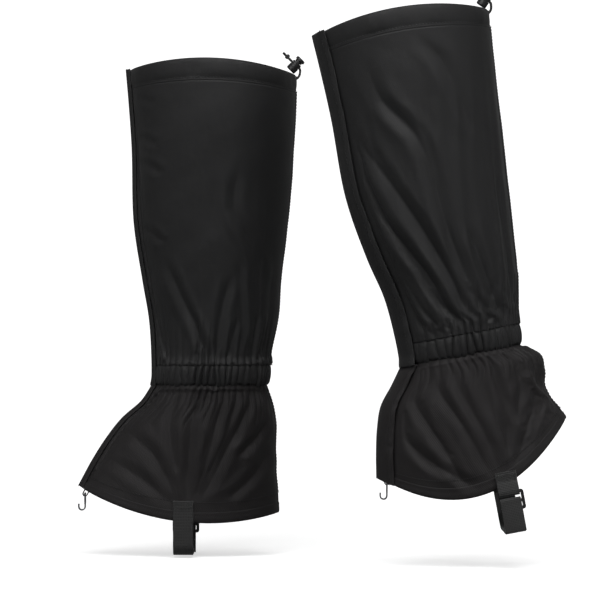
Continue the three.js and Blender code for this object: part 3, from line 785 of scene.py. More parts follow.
def finer(values, rows, columns):
    # a grid read at more points, by cubic steps along each way
    def along(grid, count):
        n = grid.shape[0]
        where = np.linspace(0, n - 1, count)
        i = np.clip(where.astype(int), 0, n - 2)
        w = (where - i).reshape(-1, *[1] * (grid.ndim - 1))
        p = [grid[np.clip(i + k, 0, n - 1)] for k in (-1, 0, 1, 2)]
        return p[1] + w * (p[2] - p[0] + w * (2 * p[0] - 5 * p[1] + 4 * p[2] - p[3]
                                              + w * (3 * (p[1] - p[2]) + p[3] - p[0]))) / 2
    return along(along(values, rows).swapaxes(0, 1), columns).swapaxes(0, 1)


# The calf

calfSettings = {
    "rows": 76, "columns": 140, "fineRows": 134, "fineColumns": 366,
    "extraRound": 0.012, "ankleCut": 0.05, "extraTall": 0.014, "legGap": 5.0,
    "cap": 2.6, "easeTop": 0.3, "easeLow": 0.06, "sideDepth": 130,
    "sim": {"frames": 18, "quality": 5, "mass": 0.08, "stretch": 30, "shear": 6, "bend": 0.8},
}
calfFolds = {
    "right": {
        "near": [
            ([(0.14, 120), (0.26, 70), (0.46, 16)], -3.2, 5),
            ([(0.67, 215), (0.64, 165), (0.78, 124), (0.89, 80)], -2.4, 5),
            ([(0.63, 100), (0.55, 60), (0.52, 16)], -3.0, 5),
            ([(0.73, 118), (0.76, 75), (0.80, 25)], 2.2, 4),
            ([(0.02, 278), (0.14, 268)], -1.5, 4),
            ([(0.01, 238), (0.14, 228)], -1.5, 4),
            ([(0.01, 215), (0.17, 199)], -1.8, 4),
            ([(0.01, 150), (0.16, 130)], -1.8, 4),
            ([(0.31, 66), (0.35, 40), (0.37, 15)], -2.2, 4),
            ([(0.86, 66), (0.84, 40), (0.83, 15)], -2.0, 4),
            ([(0.69, 60), (0.66, 40), (0.65, 15)], -2.0, 3.5),
            ([(0.94, 120), (0.94, 60), (0.92, 15)], -1.8, 4),
            ([(0.42, 275), (0.50, 205), (0.50, 130)], -1.0, 13),
        ],
        "far": [
            ([(0.30, 150), (0.38, 80), (0.46, 16)], -2.8, 6),
            ([(0.72, 220), (0.66, 120), (0.62, 16)], -2.8, 6),
            ([(0.86, 120), (0.86, 60), (0.84, 16)], -2.2, 5),
            ([(0.10, 100), (0.20, 50), (0.24, 16)], -2.2, 5),
        ],
    },
    "left": {
        "near": [
            ([(0.02, 232), (0.27, 161), (0.47, 80), (0.59, 16)], -5.4, 6),
            ([(0.04, 170), (0.33, 74), (0.48, 16)], -4.8, 5.5),
            ([(0.24, 295), (0.28, 244), (0.47, 200), (0.53, 160), (0.56, 110), (0.66, 16)], -4.8, 6),
            ([(0.54, 300), (0.67, 270), (0.77, 224), (0.83, 190)], -3.3, 6),
            ([(0.67, 126), (0.76, 63), (0.87, 16)], -3.9, 5),
            ([(0.01, 108), (0.10, 52), (0.20, 16)], -3.6, 5),
            ([(0.90, 170), (0.94, 100), (0.95, 40)], -2.7, 4),
            ([(0.33, 60), (0.38, 36), (0.40, 15)], -3.0, 4),
            ([(0.78, 50), (0.77, 32), (0.76, 15)], -3.0, 4),
        ],
        "far": [
            ([(0.06, 220), (0.30, 120), (0.46, 16)], -2.8, 6),
            ([(0.40, 240), (0.60, 130), (0.70, 16)], -2.8, 6),
            ([(0.80, 150), (0.86, 80), (0.88, 16)], -2.2, 5),
        ],
    },
}


def foldRelief(gaiter, folds, angle, height, depth):
    # the near and far sides' folds, eased into each other at the front and the back
    across = (1 - np.cos(angle)) / 2
    near = smooth(-gaiter.lateral * np.sin(angle), -0.3, 0.3)
    relief = foldHeight(folds["near"], across, height, depth) * near
    relief += foldHeight(folds["far"], across, height, depth) * (1 - near)
    return relief


heldFlat = {"outer": (33, 52), "inner": (26, 12)}  # how far from each front edge the cloth starts to be loose


def looseness(arcs, whole):
    # 0 under the closure and at the inner edge, where the tapes hold the cloth flat
    start, end = heldFlat["inner"]
    return smooth(arcs, *heldFlat["outer"]) * (1 - smooth(arcs, whole - start, whole - end))


def settled(gaiter, name, surface, settings, grow, extraTall):
    # how far the simulation moves the cloth from its worn shape, read on the fine grid
    s = settings
    sleeve = gaiter.calf if name == "calf" else gaiter.skirt
    worn, t, arcs, whole, loose = surface(gaiter, s["rows"], s["columns"])
    middle = (sleeve.front(t) + sleeve.back(t))[:, None, :] / 2
    grow = grow(worn[..., 2], t[:, None]) * np.ones_like(arcs)
    cut = middle + (worn - middle) * np.stack([grow, grow, np.full_like(grow, 1 + extraTall)], 2)
    pins = np.zeros(arcs.shape)
    pins[:2] = pins[-2:] = 1
    pins = np.maximum(pins, 1 - smooth(loose, 0, 0.6))
    form = sleeve.points(t[::3], np.linspace(0, 1, 90)[None, :-1] * whole[::3], -s["legGap"])
    form = np.concatenate([form, form[:, :1]], 1)
    base = gaiter.put(worn)
    draped = drape(gaiter.name(name + "Drape"), base, gaiter.put(cut), pins, gaiter.put(form), s["sim"])
    moved = draped - base
    far = np.linalg.norm(moved, axis=2, keepdims=True)
    cap = s["cap"] * mm
    moved *= np.where(far > 1e-9, cap * np.tanh(far / cap) / np.maximum(far, 1e-9), 1)
    # the sewn edges above and below hold it where they are
    ease = smooth(t, t[0], t[0] + s["easeTop"]) * (1 - smooth(t, t[-1] - s["easeLow"], t[-1]))
    moved *= ease[:, None, None]
    return finer(moved, s["fineRows"], s["fineColumns"])


def backSeam(arcs, whole):
    # the two halves' felled seam stands a little proud down the back
    return 0.8 * (1 - smooth(np.abs(arcs - whole / 2), 3.2, 4.6))


def calfSpan(gaiter):
    # from just inside the rim's hem to just inside the ankle's band
    top = gaiter.calf.shareAt(gaiter.height - shape["rimHem"] + shape["overlap"])
    return top, gaiter.calf.shareAt(shape["band"] / 2 - shape["overlap"])


def calfSurface(gaiter, rows, columns):
    sleeve, folds = gaiter.calf, calfFolds[gaiter.side]
    t = np.linspace(*calfSpan(gaiter), rows)
    whole = sleeve.round(t)[:, None]
    share = np.linspace(0, 1, columns)[None, :]
    arcs = clothArcs(share, whole)
    angle = sleeve.angles(t, arcs)
    height = sleeve.points(t, arcs)[..., 2]
    relief = foldRelief(gaiter, folds, angle, height, calfSettings["sideDepth"])
    relief += 0.5 * wander(share + height / 260, 5, 4, 2) * smooth(height, 20, 80)
    low = 1 - smooth(height, shape["band"] / 2, 88)
    tight = 1 - smooth(height, shape["band"] / 2, 30)
    lean = share + 0.006 * wander(share, 23, 4, 9) * smooth(height, 10, 40)
    relief += (0.75 * low**1.6 + 0.5 * tight) * pleats["depth"] * pleat(lean, gaiter.seed)
    loose = looseness(arcs, whole)
    relief *= loose * np.minimum(1, smooth(t[:, None], t[0], t[0] + 0.06))
    relief += backSeam(arcs, whole)
    return sleeve.points(t, arcs, relief), t, arcs, whole, loose


def calfPanels(gaiter):
    s = calfSettings
    worn, t, arcs, _, _ = calfSurface(gaiter, s["fineRows"], s["fineColumns"])
    fine = gaiter.put(worn)
    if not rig.quick():
        grow = lambda z, _: 1 + s["extraRound"] + s["ankleCut"] * (1 - smooth(z, 20, 150))
        fine = fine + settled(gaiter, "calf", calfSurface, s, grow, s["extraTall"])
    uv = np.stack([arcs, np.broadcast_to(gaiter.calf.front(t)[:, 2:], arcs.shape)], 2)
    obj = makeObject(gaiter.name("calf_sleeve"), fine.reshape(-1, 3),
                     gridFaces(s["fineRows"], s["fineColumns"], gaiter.lateral > 0),
                     uv.reshape(-1, 2) * mm, "calfCloth", outward=False)
    wall(obj, shape["cloth"])
    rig.ride(obj, gaiter.name("calf"))
    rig.replaces(obj, gaiter.name("calf_outer_panel"), gaiter.name("calf_inner_panel"))
    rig.slot(obj, "calf_cloth")
    around = float(gaiter.calf.round(0.05)[0]) * mm
    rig.sheet(obj, flat=(around, 0.28), held="gathered", rests_on=[gaiter.name("top_hem")])
    gaiter.calfGrid = fine


# The rim: a folded hem with a cord in it

def outline(points, rounds=1):
    # an outline of (offset, rise) corners, with its corners cut to round them
    p = np.array(points, float)
    for _ in range(rounds):
        q = np.roll(p, -1, axis=0)
        p = np.stack([p * 0.75 + q * 0.25, p * 0.25 + q * 0.75], 1).reshape(-1, 2)
    return p


def hoop(sleeve, stations, profile, lift):
    # a profile of (offset, share down) swept round the sleeve through stations, which are arcs' shares
    t = profile[:, 1]
    whole = sleeve.round(np.clip(t, 0, 1))
    arcs = shape["outerEdge"] + np.outer(whole - shape["innerEdge"] - shape["outerEdge"], stations)
    offset = np.repeat(profile[:, :1], len(stations), 1) + lift(stations[None, :], profile)
    p = sleeve.points(np.clip(t, 0, 1), arcs, offset)
    span = sleeve.front(0)[0, 2] - sleeve.front(1)[0, 2]
    p[..., 2] += np.maximum(0, -t)[:, None] * span
    return p.swapaxes(0, 1), arcs.mean(axis=0)


rimSettings = {
    "stations": 420, "ruck": 1.1, "count": 23,
    # offset from the cloth and distance below the rim, round the hem's section
    "corners": [(-0.2, 20.4), (0.35, 19.6), (0.0, 17.4), (0.7, 14), (0.9, 9), (0.5, 4), (-0.6, 1.0),
                (-2.4, 0.1), (-4.2, 0.8), (-5.6, 4), (-6.0, 10), (-5.4, 16), (-3.4, 18.0), (-1.6, 20.0)],
}


def rimHem(gaiter):
    sleeve = gaiter.calf
    low = sleeve.shareAt(gaiter.height - shape["rimHem"])
    share = lambda down: low * down / shape["rimHem"]
    profile = outline(rimSettings["corners"], 2)
    down = profile[:, 1:]
    profile = np.column_stack([profile[:, 0], share(profile[:, 1])])
    stations = np.linspace(0, 1, rimSettings["stations"])

    def ruck(where, _):
        full = np.sin(np.pi * np.clip((down - 0.5) / 17, 0, 1)) ** 0.6
        wave = wander(where, 31 + gaiter.lateral, 6, 4)
        fine = wander(where, 41 + gaiter.lateral, 6, rimSettings["count"] / 3)
        return (wave * 0.5 + fine * 0.35) * rimSettings["ruck"] * full

    rings, along = hoop(sleeve, stations, profile, ruck)
    across = runLength(rings[0])
    obj = sweep(gaiter, "rim_hem", rings, along, across, "calfCloth")
    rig.ride(obj, gaiter.name("calf"))
    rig.replaces(obj, gaiter.name("top_hem"))
    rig.slot(obj, "calf_cloth")


# The ankle: a channel gathered on elastic

bandSettings = {"stations": 760, "ruck": 3.2, "frill": 3.2}


def ankleBand(gaiter):
    sleeve = gaiter.calf
    half = shape["band"] / 2
    corners = [(-0.8, half + 0.8), (0.2, half - 0.2), (-0.5, half - 1.8), (0.5, half - 4), (1.0, 0),
               (0.7, 4 - half), (0.1, 2.4 - half), (-0.8, 1.2 - half), (-1.8, 0.6 - half), (-3.0, 0.4 - half),
               (-4.4, 1 - half), (-4.6, 0), (-4.4, half - 1), (-2.2, half + 0.4)]
    profile = outline(corners, 2)
    rise = profile[:, 1:]
    t = np.array([sleeve.shareAt(z) for z in profile[:, 1]])
    stations = np.linspace(0, 1, bandSettings["stations"])
    seed = gaiter.seed

    def ruck(where, p):
        outer = smooth(p[:, :1], -2.4, -0.6)
        middle = np.clip(1 - np.abs(rise) / half, 0, 1) ** 0.4
        whole = sleeve.round(1)[0]
        arcs = clothArcs(where, whole)
        held = 0.12 + 0.88 * looseness(arcs, whole)
        drift = where + 0.009 * wander(where, seed + 9, 4, 9) * rise / half
        return bandSettings["ruck"] * pleat(drift, seed) * (0.55 + 0.45 * middle) * outer * held

    rings, along = hoop(sleeve, stations, np.column_stack([profile[:, 0], t]), ruck)
    # both edges ruffle up and down with the gathers
    edge = np.sign(rise[:, 0]) * smooth(np.abs(rise[:, 0]), half - 4, half - 0.5)
    held = 0.2 + 0.8 * looseness(along, sleeve.round(1)[0])
    ruffle = 0.7 * pleat(stations, seed + 2) + 0.6 * wander(stations, seed + 5, 6, 7)
    ruffle = bandSettings["frill"] * ruffle * held
    rings[..., 2] += ruffle[:, None] * edge[None, :]
    across = runLength(rings[0])
    obj = sweep(gaiter, "ankle_channel", rings, along * 1.25, across, "calfCloth")
    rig.ride(obj, gaiter.name("calf"))
    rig.replaces(obj, gaiter.name("ankle_band"))
    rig.slot(obj, "calf_cloth")


for gaiter in pair:
    calfPanels(gaiter)
    rimHem(gaiter)
    ankleBand(gaiter)
print("calves made")


# The skirt over the boot

skirtSettings = {
    "rows": 46, "columns": 140, "fineRows": 120, "fineColumns": 400,
    "extraRound": 0.01, "ankleCut": 0.05, "extraTall": 0.02, "legGap": 6.0,
    "cap": 2.6, "easeTop": 0.08, "easeLow": 0.22, "sideDepth": 150,
    "sim": {"frames": 18, "quality": 5, "mass": 0.1, "stretch": 30, "shear": 8, "bend": 1.0},
}
skirtFolds = {
    "right": {
        "near": [
            ([(0.35, -6), (0.47, -63), (0.53, -128)], -3.4, 5),
            ([(0.89, -6), (0.73, -63), (0.59, -128)], -3.4, 5),
            ([(0.60, -6), (0.61, -63), (0.56, -128)], -3.0, 5),
            ([(0.75, -8), (0.69, -55), (0.60, -110)], -2.4, 4.5),
            ([(0.01, -50), (0.28, -78), (0.49, -126)], -2.6, 5),
            ([(0.00, -76), (0.27, -103), (0.48, -130)], -2.4, 5),
            ([(0.98, -38), (0.88, -63), (0.76, -82)], -3.0, 4.5),
            ([(0.98, -70), (0.88, -98), (0.72, -126)], -2.6, 5),
            ([(0.18, -10), (0.32, -54), (0.46, -100)], -2.6, 5),
        ],
        "far": [
            ([(0.30, -8), (0.42, -63), (0.50, -128)], -3.2, 5),
            ([(0.85, -8), (0.70, -63), (0.58, -128)], -3.2, 5),
            ([(0.56, -8), (0.56, -63), (0.54, -128)], -2.8, 5),
            ([(0.04, -60), (0.28, -90), (0.48, -128)], -2.4, 5),
        ],
    },
    "left": {
        "near": [
            ([(0.06, -18), (0.32, -84), (0.42, -134)], -3.2, 5),
            ([(0.18, -12), (0.45, -69), (0.58, -132)], -3.2, 5),
            ([(0.33, -10), (0.56, -73), (0.62, -130)], -3.0, 5),
            ([(0.60, -6), (0.73, -59), (0.66, -124)], -2.8, 5),
            ([(0.88, -8), (0.94, -28), (0.96, -56)], -3.0, 4),
            ([(0.03, -60), (0.25, -101), (0.50, -140)], -2.4, 5),
            ([(0.97, -50), (0.82, -88), (0.68, -126)], -3.0, 5),
            ([(0.76, -6), (0.84, -44), (0.78, -84)], -2.4, 4.5),
        ],
        "far": [
            ([(0.25, -10), (0.46, -70), (0.60, -132)], -3.0, 5),
            ([(0.55, -8), (0.66, -66), (0.63, -130)], -3.0, 5),
            ([(0.90, -10), (0.84, -70), (0.68, -126)], -2.8, 5),
        ],
    },
}


def skirtSurface(gaiter, rows, columns):
    sleeve, folds = gaiter.skirt, skirtFolds[gaiter.side]
    t = np.linspace(0, 1, rows)
    whole = sleeve.round(t)[:, None]
    share = np.linspace(0, 1, columns)[None, :]
    arcs = clothArcs(share, whole)
    angle = sleeve.angles(t, arcs)
    height = sleeve.points(t, arcs)[..., 2]
    relief = foldRelief(gaiter, folds, angle, height, skirtSettings["sideDepth"])
    down = t[:, None]
    lean = share + 0.008 * wander(share, 29, 4, 9) * smooth(down, 0.02, 0.4)
    relief += 1.1 * pleats["depth"] * pleat(lean, gaiter.seed) * (1 - smooth(down, 0, 0.6)) ** 1.5
    relief += 0.7 * wander(share + down * 0.5, 17, 4, 3) * smooth(down, 0.1, 0.5)
    # sewn in under the band, and held by the hem below
    tuck = 1 - smooth(down, 0, 0.05)
    loose = looseness(arcs, whole)
    relief = relief * loose * (1 - 0.5 * smooth(down, 0.84, 1)) * (1 - 0.8 * tuck) - 1.2 * tuck
    relief += backSeam(arcs, whole) * smooth(down, 0.02, 0.08)
    worn = sleeve.points(t, arcs, relief)
    worn[..., 2] += 2.4 * (1 - smooth(down, 0, 0.03))
    return worn, t, arcs, whole, loose


def ankleLine(gaiter, low, high):
    # two points on the leg's axis, for what bends with the ankle
    return tuple(gaiter.put([0, 0, low])), tuple(gaiter.put([0, 0, high]))


def skirtPanels(gaiter):
    s = skirtSettings
    worn, t, arcs, _, _ = skirtSurface(gaiter, s["fineRows"], s["fineColumns"])
    fine = gaiter.put(worn)
    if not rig.quick():
        grow = lambda _, down: 1 + s["extraRound"] + s["ankleCut"] * (1 - smooth(down, 0, 0.7))
        fine = fine + settled(gaiter, "skirt", skirtSurface, s, grow, s["extraTall"])
    length = runLength(gaiter.skirt.front(t))
    uv = np.stack([arcs, np.broadcast_to(-length[:, None], arcs.shape)], 2)
    obj = makeObject(gaiter.name("skirt_sleeve"), fine.reshape(-1, 3),
                     gridFaces(s["fineRows"], s["fineColumns"], gaiter.lateral > 0),
                     uv.reshape(-1, 2) * mm, "skirtCloth", outward=False)
    wall(obj, shape["cloth"])
    top = -shape["band"] / 2 - 1
    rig.blend(obj, gaiter.name("calf"), gaiter.name("skirt"), *ankleLine(gaiter, top, top - 34))
    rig.replaces(obj, *(gaiter.name(n) for n in ("ankle_gather", "skirt_outer_panel", "skirt_inner_panel")))
    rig.slot(obj, "skirt_cloth")
    around = float(gaiter.skirt.round(1)[0]) * mm
    tall = float(length[-1]) * mm
    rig.sheet(obj, flat=(around, tall), held="gathered", rests_on=[gaiter.name("bottom_hem")])
    gaiter.skirtGrid = fine


def gridNormals(grid, lateral):
    around, down = np.gradient(grid, axis=1), np.gradient(grid, axis=0)
    return unit(np.cross(around, down) * lateral)


hemSettings = {
    "rows": 11,  # of the skirt's grid, over which its spacing is measured
    # offset from the cloth and height above its edge, round the hem's section
    "corners": [(0.35, 9.4), (0.75, 8.6), (0.5, 6.0), (0.9, 3), (0.7, 0.3), (-0.4, -0.7), (-1.5, 0.2),
                (-1.9, 3), (-1.9, 7), (-1.5, 9.0)],
}


def bottomHem(gaiter):
    # a narrow hem turned inside, following the skirt's own folds
    grid = gaiter.skirtGrid
    rows = len(grid)
    normals = gridNormals(grid, gaiter.lateral)
    span = np.linalg.norm(grid[-1] - grid[-1 - hemSettings["rows"]], axis=1).mean() / hemSettings["rows"]
    profile = outline(hemSettings["corners"], 1)
    rings = []
    edge = unit(grid[-1] - grid[-2])
    for offset, up in profile:
        place = rows - 1 - max(up, 0) * mm / span
        i = int(np.clip(math.floor(place), 0, rows - 2))
        w = np.clip(place - i, 0, 1)
        line = grid[i] * (1 - w) + grid[i + 1] * w
        normal = normals[i] * (1 - w) + normals[i + 1] * w
        rings.append(line + normal * offset * mm + edge * max(-up, 0) * mm)
    rings = np.array(rings).swapaxes(0, 1)
    n, k = rings.shape[:2]
    along = runLength(grid[-1])
    across = runLength(rings[0])
    uvs = np.stack([np.broadcast_to(along[:, None], (n, k)), np.broadcast_to(across, (n, k))], 2)
    obj = makeObject(gaiter.name("hem_fold"), rings.reshape(-1, 3), tubeFaces(n, k), uvs.reshape(-1, 2),
                     "skirtCloth")
    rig.ride(obj, gaiter.name("skirt"))
    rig.replaces(obj, gaiter.name("bottom_hem"))
    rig.slot(obj, "skirt_cloth")


# The closure: tapes under a flap down the front

def flapRings(sleeve, t, outside, thickness, lift):
    # a soft-edged strip from the flap's sewn edge to its free edge, at each t
    start, end = shape["flapStart"], shape["flapEnd"]
    arcs = np.r_[np.linspace(start, end, 30), np.linspace(end, start, 30)]
    under = np.r_[np.zeros(30), np.ones(30)]
    share = (arcs - start) / (end - start)
    thin = thickness * (0.5 + 0.5 * np.clip(np.sin(np.pi * share) * 6, 0, 1))
    # it climbs from its seam over the tapes and drops again past them
    height = 1.5 + (outside - 1.5) * smooth(arcs, start + 1, start + 10) - 2.1 * smooth(arcs, 27, end)
    offset = (height - under * thin)[None, :] + lift(t[:, None], share[None, :])
    return sleeve.points(t, np.tile(arcs, (len(t), 1)), offset), arcs


flapSettings = {
    "outside": 4.2, "thickness": 1.3, "rows": 240,
    "sewn": (26, 5), "proud": 0.12,  # which points across the strip are sewn, and how far the thread stands out
    "covered": 28,  # rows of the skirt's flap that lie under the calf's
}


def flapPiece(gaiter, part, sleeve, body, partner, node, finish, slotName, seed, flare):
    t = np.linspace(0, 1, flapSettings["rows"])
    length = runLength(sleeve.front(t))

    def lift(down, share):
        # the free edge stands a little off in long waves, and a sewn line presses it down
        wave = wander(down, seed, 5, 3)
        press = np.exp(-(((share - 0.88) / 0.03) ** 2))
        free = smooth(share, 0.6, 1.0)
        return free * (0.3 + 0.8 * wave) - 0.3 * press + flare(down) * smooth(share, 0.12, 0.4)

    rings, arcs = flapRings(sleeve, t, flapSettings["outside"], flapSettings["thickness"], lift)
    obj = sweep(gaiter, part, rings, -length, arcs, finish)
    fold = sleeve.points(t[[0, -1]], np.array([[shape["flapStart"]], [shape["flapStart"]]]), 4)[:, 0]
    middle = fold.mean(axis=0)
    near = gaiter.put(middle)
    far = gaiter.put(middle + [0, gaiter.lateral * 7, 0])
    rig.blend(obj, gaiter.name(partner), gaiter.name(body), tuple(near), tuple(far))
    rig.replaces(obj, gaiter.name(node))
    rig.slot(obj, slotName)
    tall = float(length[-1]) * mm
    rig.sheet(obj, flat=((shape["flapEnd"] - shape["flapStart"]) * mm, tall), held="laid",
             rests_on=[gaiter.name(node.replace("flap", "hook_tape"))], area=None)
    # rows of stitches along its free edge and its seam
    lines = []
    for index in flapSettings["sewn"]:
        line = rings[:, index]
        out = unit(line - sleeve.points(t, np.full((len(t), 1), float(arcs[index])), -20)[:, 0])
        covered = 0 if sleeve is gaiter.calf else flapSettings["covered"]
        lines.append(gaiter.put(line + out * flapSettings["proud"])[covered:])
    return lines


def tapePiece(gaiter, part, sleeve, span, outside, body, finish):
    t = np.linspace(*span, 60)
    start, end = shape["tapeStart"], shape["tapeStart"] + shape["tapeWidth"]
    arcs = np.r_[np.linspace(start, end, 12), np.linspace(end, start, 12)]
    share = (arcs - start) / (end - start)
    crown = np.clip(np.sin(np.pi * share) * 8, 0, 1)
    offset = np.r_[np.full(12, outside), np.full(12, outside - 1.0)]
    offset -= np.r_[0.3 * (1 - crown[:12]), -0.2 * (1 - crown[12:])]
    rings = sleeve.points(t, np.tile(arcs, (len(t), 1)), np.tile(offset, (len(t), 1)))
    length = runLength(sleeve.front(t))
    obj = sweep(gaiter, part + "_strip", rings, -length, arcs, finish)
    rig.ride(obj, gaiter.name(body))
    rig.replaces(obj, gaiter.name(part))
    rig.slot(obj, "closure_tape")


def closure(gaiter):
    calf, skirt = gaiter.calf, gaiter.skirt
    hemShare = calf.shareAt(gaiter.height - shape["rimHem"])
    tapeSpan, lowSpan = (hemShare / 4, 0.985), (0.40, 0.91)
    tapePiece(gaiter, "calf_loop_tape", calf, tapeSpan, 1.4, "calf", "loopTape")
    tapePiece(gaiter, "calf_hook_tape", calf, tapeSpan, 2.8, "calf_closure", "hookTape")
    tapePiece(gaiter, "skirt_loop_tape", skirt, lowSpan, 1.4, "skirt", "loopTape")
    tapePiece(gaiter, "skirt_hook_tape", skirt, lowSpan, 2.8, "skirt_closure", "hookTape")
    seed = gaiter.worn["flapSeed"]
    upper = flapPiece(gaiter, "calf_storm_flap", calf, "calf_closure", "calf", "calf_flap", "calfCloth",
                      "calf_cloth", seed, lambda x: 0.5 * (1 - smooth(x, 0, 0.06)) + 1.8 * smooth(x, 0.93, 1))
    lower = flapPiece(gaiter, "skirt_storm_flap", skirt, "skirt_closure", "skirt", "skirt_flap",
                      "skirtCloth", "skirt_cloth", seed + 2, lambda x: -0.4 * (1 - smooth(x, 0, 0.2)))
    gaiter.flapLines = upper, lower


for gaiter in pair:
    skirtPanels(gaiter)
    bottomHem(gaiter)
    closure(gaiter)
print("skirts and closures made")


# Webbing: the tab and the strap under the sole, threaded through the buckle

webbing = {"width": 20, "thickness": 1.4, "turn": 11, "uneven": 0.008}
buckle = {"drop": 18, "bar": 3, "upperSlot": 6, "lowerSlot": 4, "thickness": 3}


def tapeOutline(width, thickness, steps=5):
    turn = np.linspace(-np.pi / 2, np.pi / 2, steps)
    edge = thickness / 2
    half = np.column_stack([width / 2 - edge + edge * np.cos(turn), edge * np.sin(turn)])
    return np.vstack([half, -half])


def ribbon(gaiter, part, line, across, size, body, node, extra=0.0, bend=None):
    # line is points in the gaiter's frame, across is the way its width runs, and extra its unevenness
    up = unit(np.cross(unit(np.gradient(line, axis=0)), across))
    section = tapeOutline(size["width"], size["thickness"])
    length = runLength(line)
    edge = 1 + extra * wander(length / 60, 71, 4, 1)
    wide = (section[:, 0] * edge[:, None])[..., None] * across
    rings = line[:, None] + wide + section[:, 1:] * up[:, None]
    obj = sweep(gaiter, part, rings, length, section[:, 0], "webbing")
    if bend is None:
        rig.ride(obj, gaiter.name(body))
    else:
        partner, start, end = bend
        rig.blend(obj, gaiter.name(body), gaiter.name(partner), tuple(gaiter.put(start)), tuple(gaiter.put(end)))
    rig.replaces(obj, gaiter.name(node))
    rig.slot(obj, "webbing")


def strapLines(gaiter):
    worn, widths = gaiter.worn["strap"], [row[4] for row in gaiter.worn["skirt"]]
    thick, gap = webbing["thickness"], shape["gap"]
    on = max(widths) / 2 + 0.5 + gap + thick / 2
    plate = on + thick / 2 + gap
    front = plate + buckle["thickness"] + gap + thick / 2
    middle, doubled = plate + buckle["thickness"] / 2, on + thick + gap
    top, bottom = worn["top"], worn["sole"] + thick / 2
    high = top - buckle["drop"]
    slotTop = high - buckle["bar"]
    slotBottom = slotTop - buckle["upperSlot"]
    lowTop = slotBottom - buckle["bar"]
    lowBottom = lowTop - buckle["lowerSlot"]
    low = lowBottom - buckle["bar"]
    tab = [(on, top), (on, top - 6), (on, high), (on, slotTop + 0.4), (on + 0.7, slotTop - 0.9),
           (middle, slotTop - 1.4), (front - 0.5, slotTop - 0.6), (front, slotTop + 0.8), (front, high - 0.4),
           (front - 0.6, high + 1.8), (on + thick + 1.8, high + 6), (doubled, high + 9.5), (doubled, top - 2)]
    threaded = [(front + 0.6, low - 20), (front + 0.8, low - 8), (front, lowTop), (front, slotBottom - 1.4),
                (front - 0.6, slotBottom + 0.9), (middle, slotBottom + 1.5), (on + 0.7, slotBottom + 0.9),
                (on, slotBottom - 0.8), (on, lowBottom)]
    r = webbing["turn"]
    turn = np.linspace(0, np.pi / 2, 14)
    under = np.column_stack([on - r + r * np.cos(turn), bottom + r - r * np.sin(turn)])
    mirrored = under[::-1] * (-1, 1)
    fine = np.linspace(0, 1, 120)
    strap = np.vstack([curveThrough(threaded, 0)(fine), under, mirrored, [(-on, top)]])

    def stand(line, count):
        line = evenly(line, count)
        return np.column_stack([np.full(count, worn["x"]), gaiter.lateral * line[:, 0], line[:, 1]])

    gaiter.tabTop = np.array([worn["x"], gaiter.lateral * (doubled + thick / 2), top])
    gaiter.strapTop = np.array([worn["x"], -gaiter.lateral * (on + thick / 2), top])
    return stand(curveThrough(tab, 0)(fine), 90), stand(strap, 220)


laceTab = {"width": 10, "thickness": 1, "bar": 2, "fold": 1.2, "drop": 4.5}


def laceLine(gaiter):
    front = gaiter.skirt.front(np.array([0.92, 1.0]))
    down = unit(front[1] - front[0])
    inward = np.array([-down[2], 0, down[0]])
    inward = inward if inward[0] > 0 else -inward
    c = laceTab
    loop = c["bar"] / 2 + 0.7 + c["thickness"] / 2
    depth = 1.7 + c["fold"] + shape["gap"] + c["thickness"] / 2
    turn = np.linspace(0, np.pi, 14)
    line = [(depth, -12), (depth, -6)]
    line += list(zip(depth + loop - loop * np.cos(turn), c["drop"] + loop * np.sin(turn)))
    line += [(depth + 2 * loop, -6), (depth + 2 * loop, -12)]
    line = evenly(line, 60)
    return front[1] + line[:, :1] * inward + line[:, 1:] * down


def webbingPieces(gaiter):
    tab, strap = strapLines(gaiter)
    flat = np.array([1.0, 0, 0])
    high = tab[0] - [0, 0, 4]
    low = tab[0] - [0, 0, buckle["drop"] - 2]  # the tab twists between its seam and the buckle's bar
    ribbon(gaiter, "tab_webbing", tab, flat, webbing, "skirt", "buckle_tab", webbing["uneven"],
           ("strap", high, low))
    ribbon(gaiter, "strap_webbing", strap, flat, webbing, "strap", "instep_strap", webbing["uneven"])
    ribbon(gaiter, "lace_webbing", laceLine(gaiter), np.array([0, 1.0, 0]), laceTab, "skirt", "lace_hook_tab")


# The drawcord: two halves in the rim's hem, led out behind through the lock and knotted

cord = {
    "diameter": 2.4, "below": 5,  # below the rim
    "apart": 2.9,  # between the two halves' middles in the lock
    "out": 2.4, "rise": 14, "lean": 45, "body": 10.4,  # the lock, from the mouth of the hem
    "tail": 6.5,  # past the lock
    "knot": 0.62, "knotRadius": 1.05,
}


def tube(gaiter, part, path, radius, sides, finish):
    # rings carried along the path without twisting
    along = unit(np.gradient(path, axis=0))
    side = unit(np.cross(along[0], [0.3, 1, 0.2]))
    turn = np.linspace(0, 2 * np.pi, sides, endpoint=False)
    radius = np.broadcast_to(radius, len(path))
    rings = []
    for point, way, r in zip(path, along, radius):
        side = unit(side - way * (side @ way))
        other = np.cross(way, side)
        rings.append(point + r * (np.cos(turn)[:, None] * side + np.sin(turn)[:, None] * other))
    length = runLength(path)
    return sweep(gaiter, part, np.array(rings), length, turn / (2 * np.pi) / mm, finish)


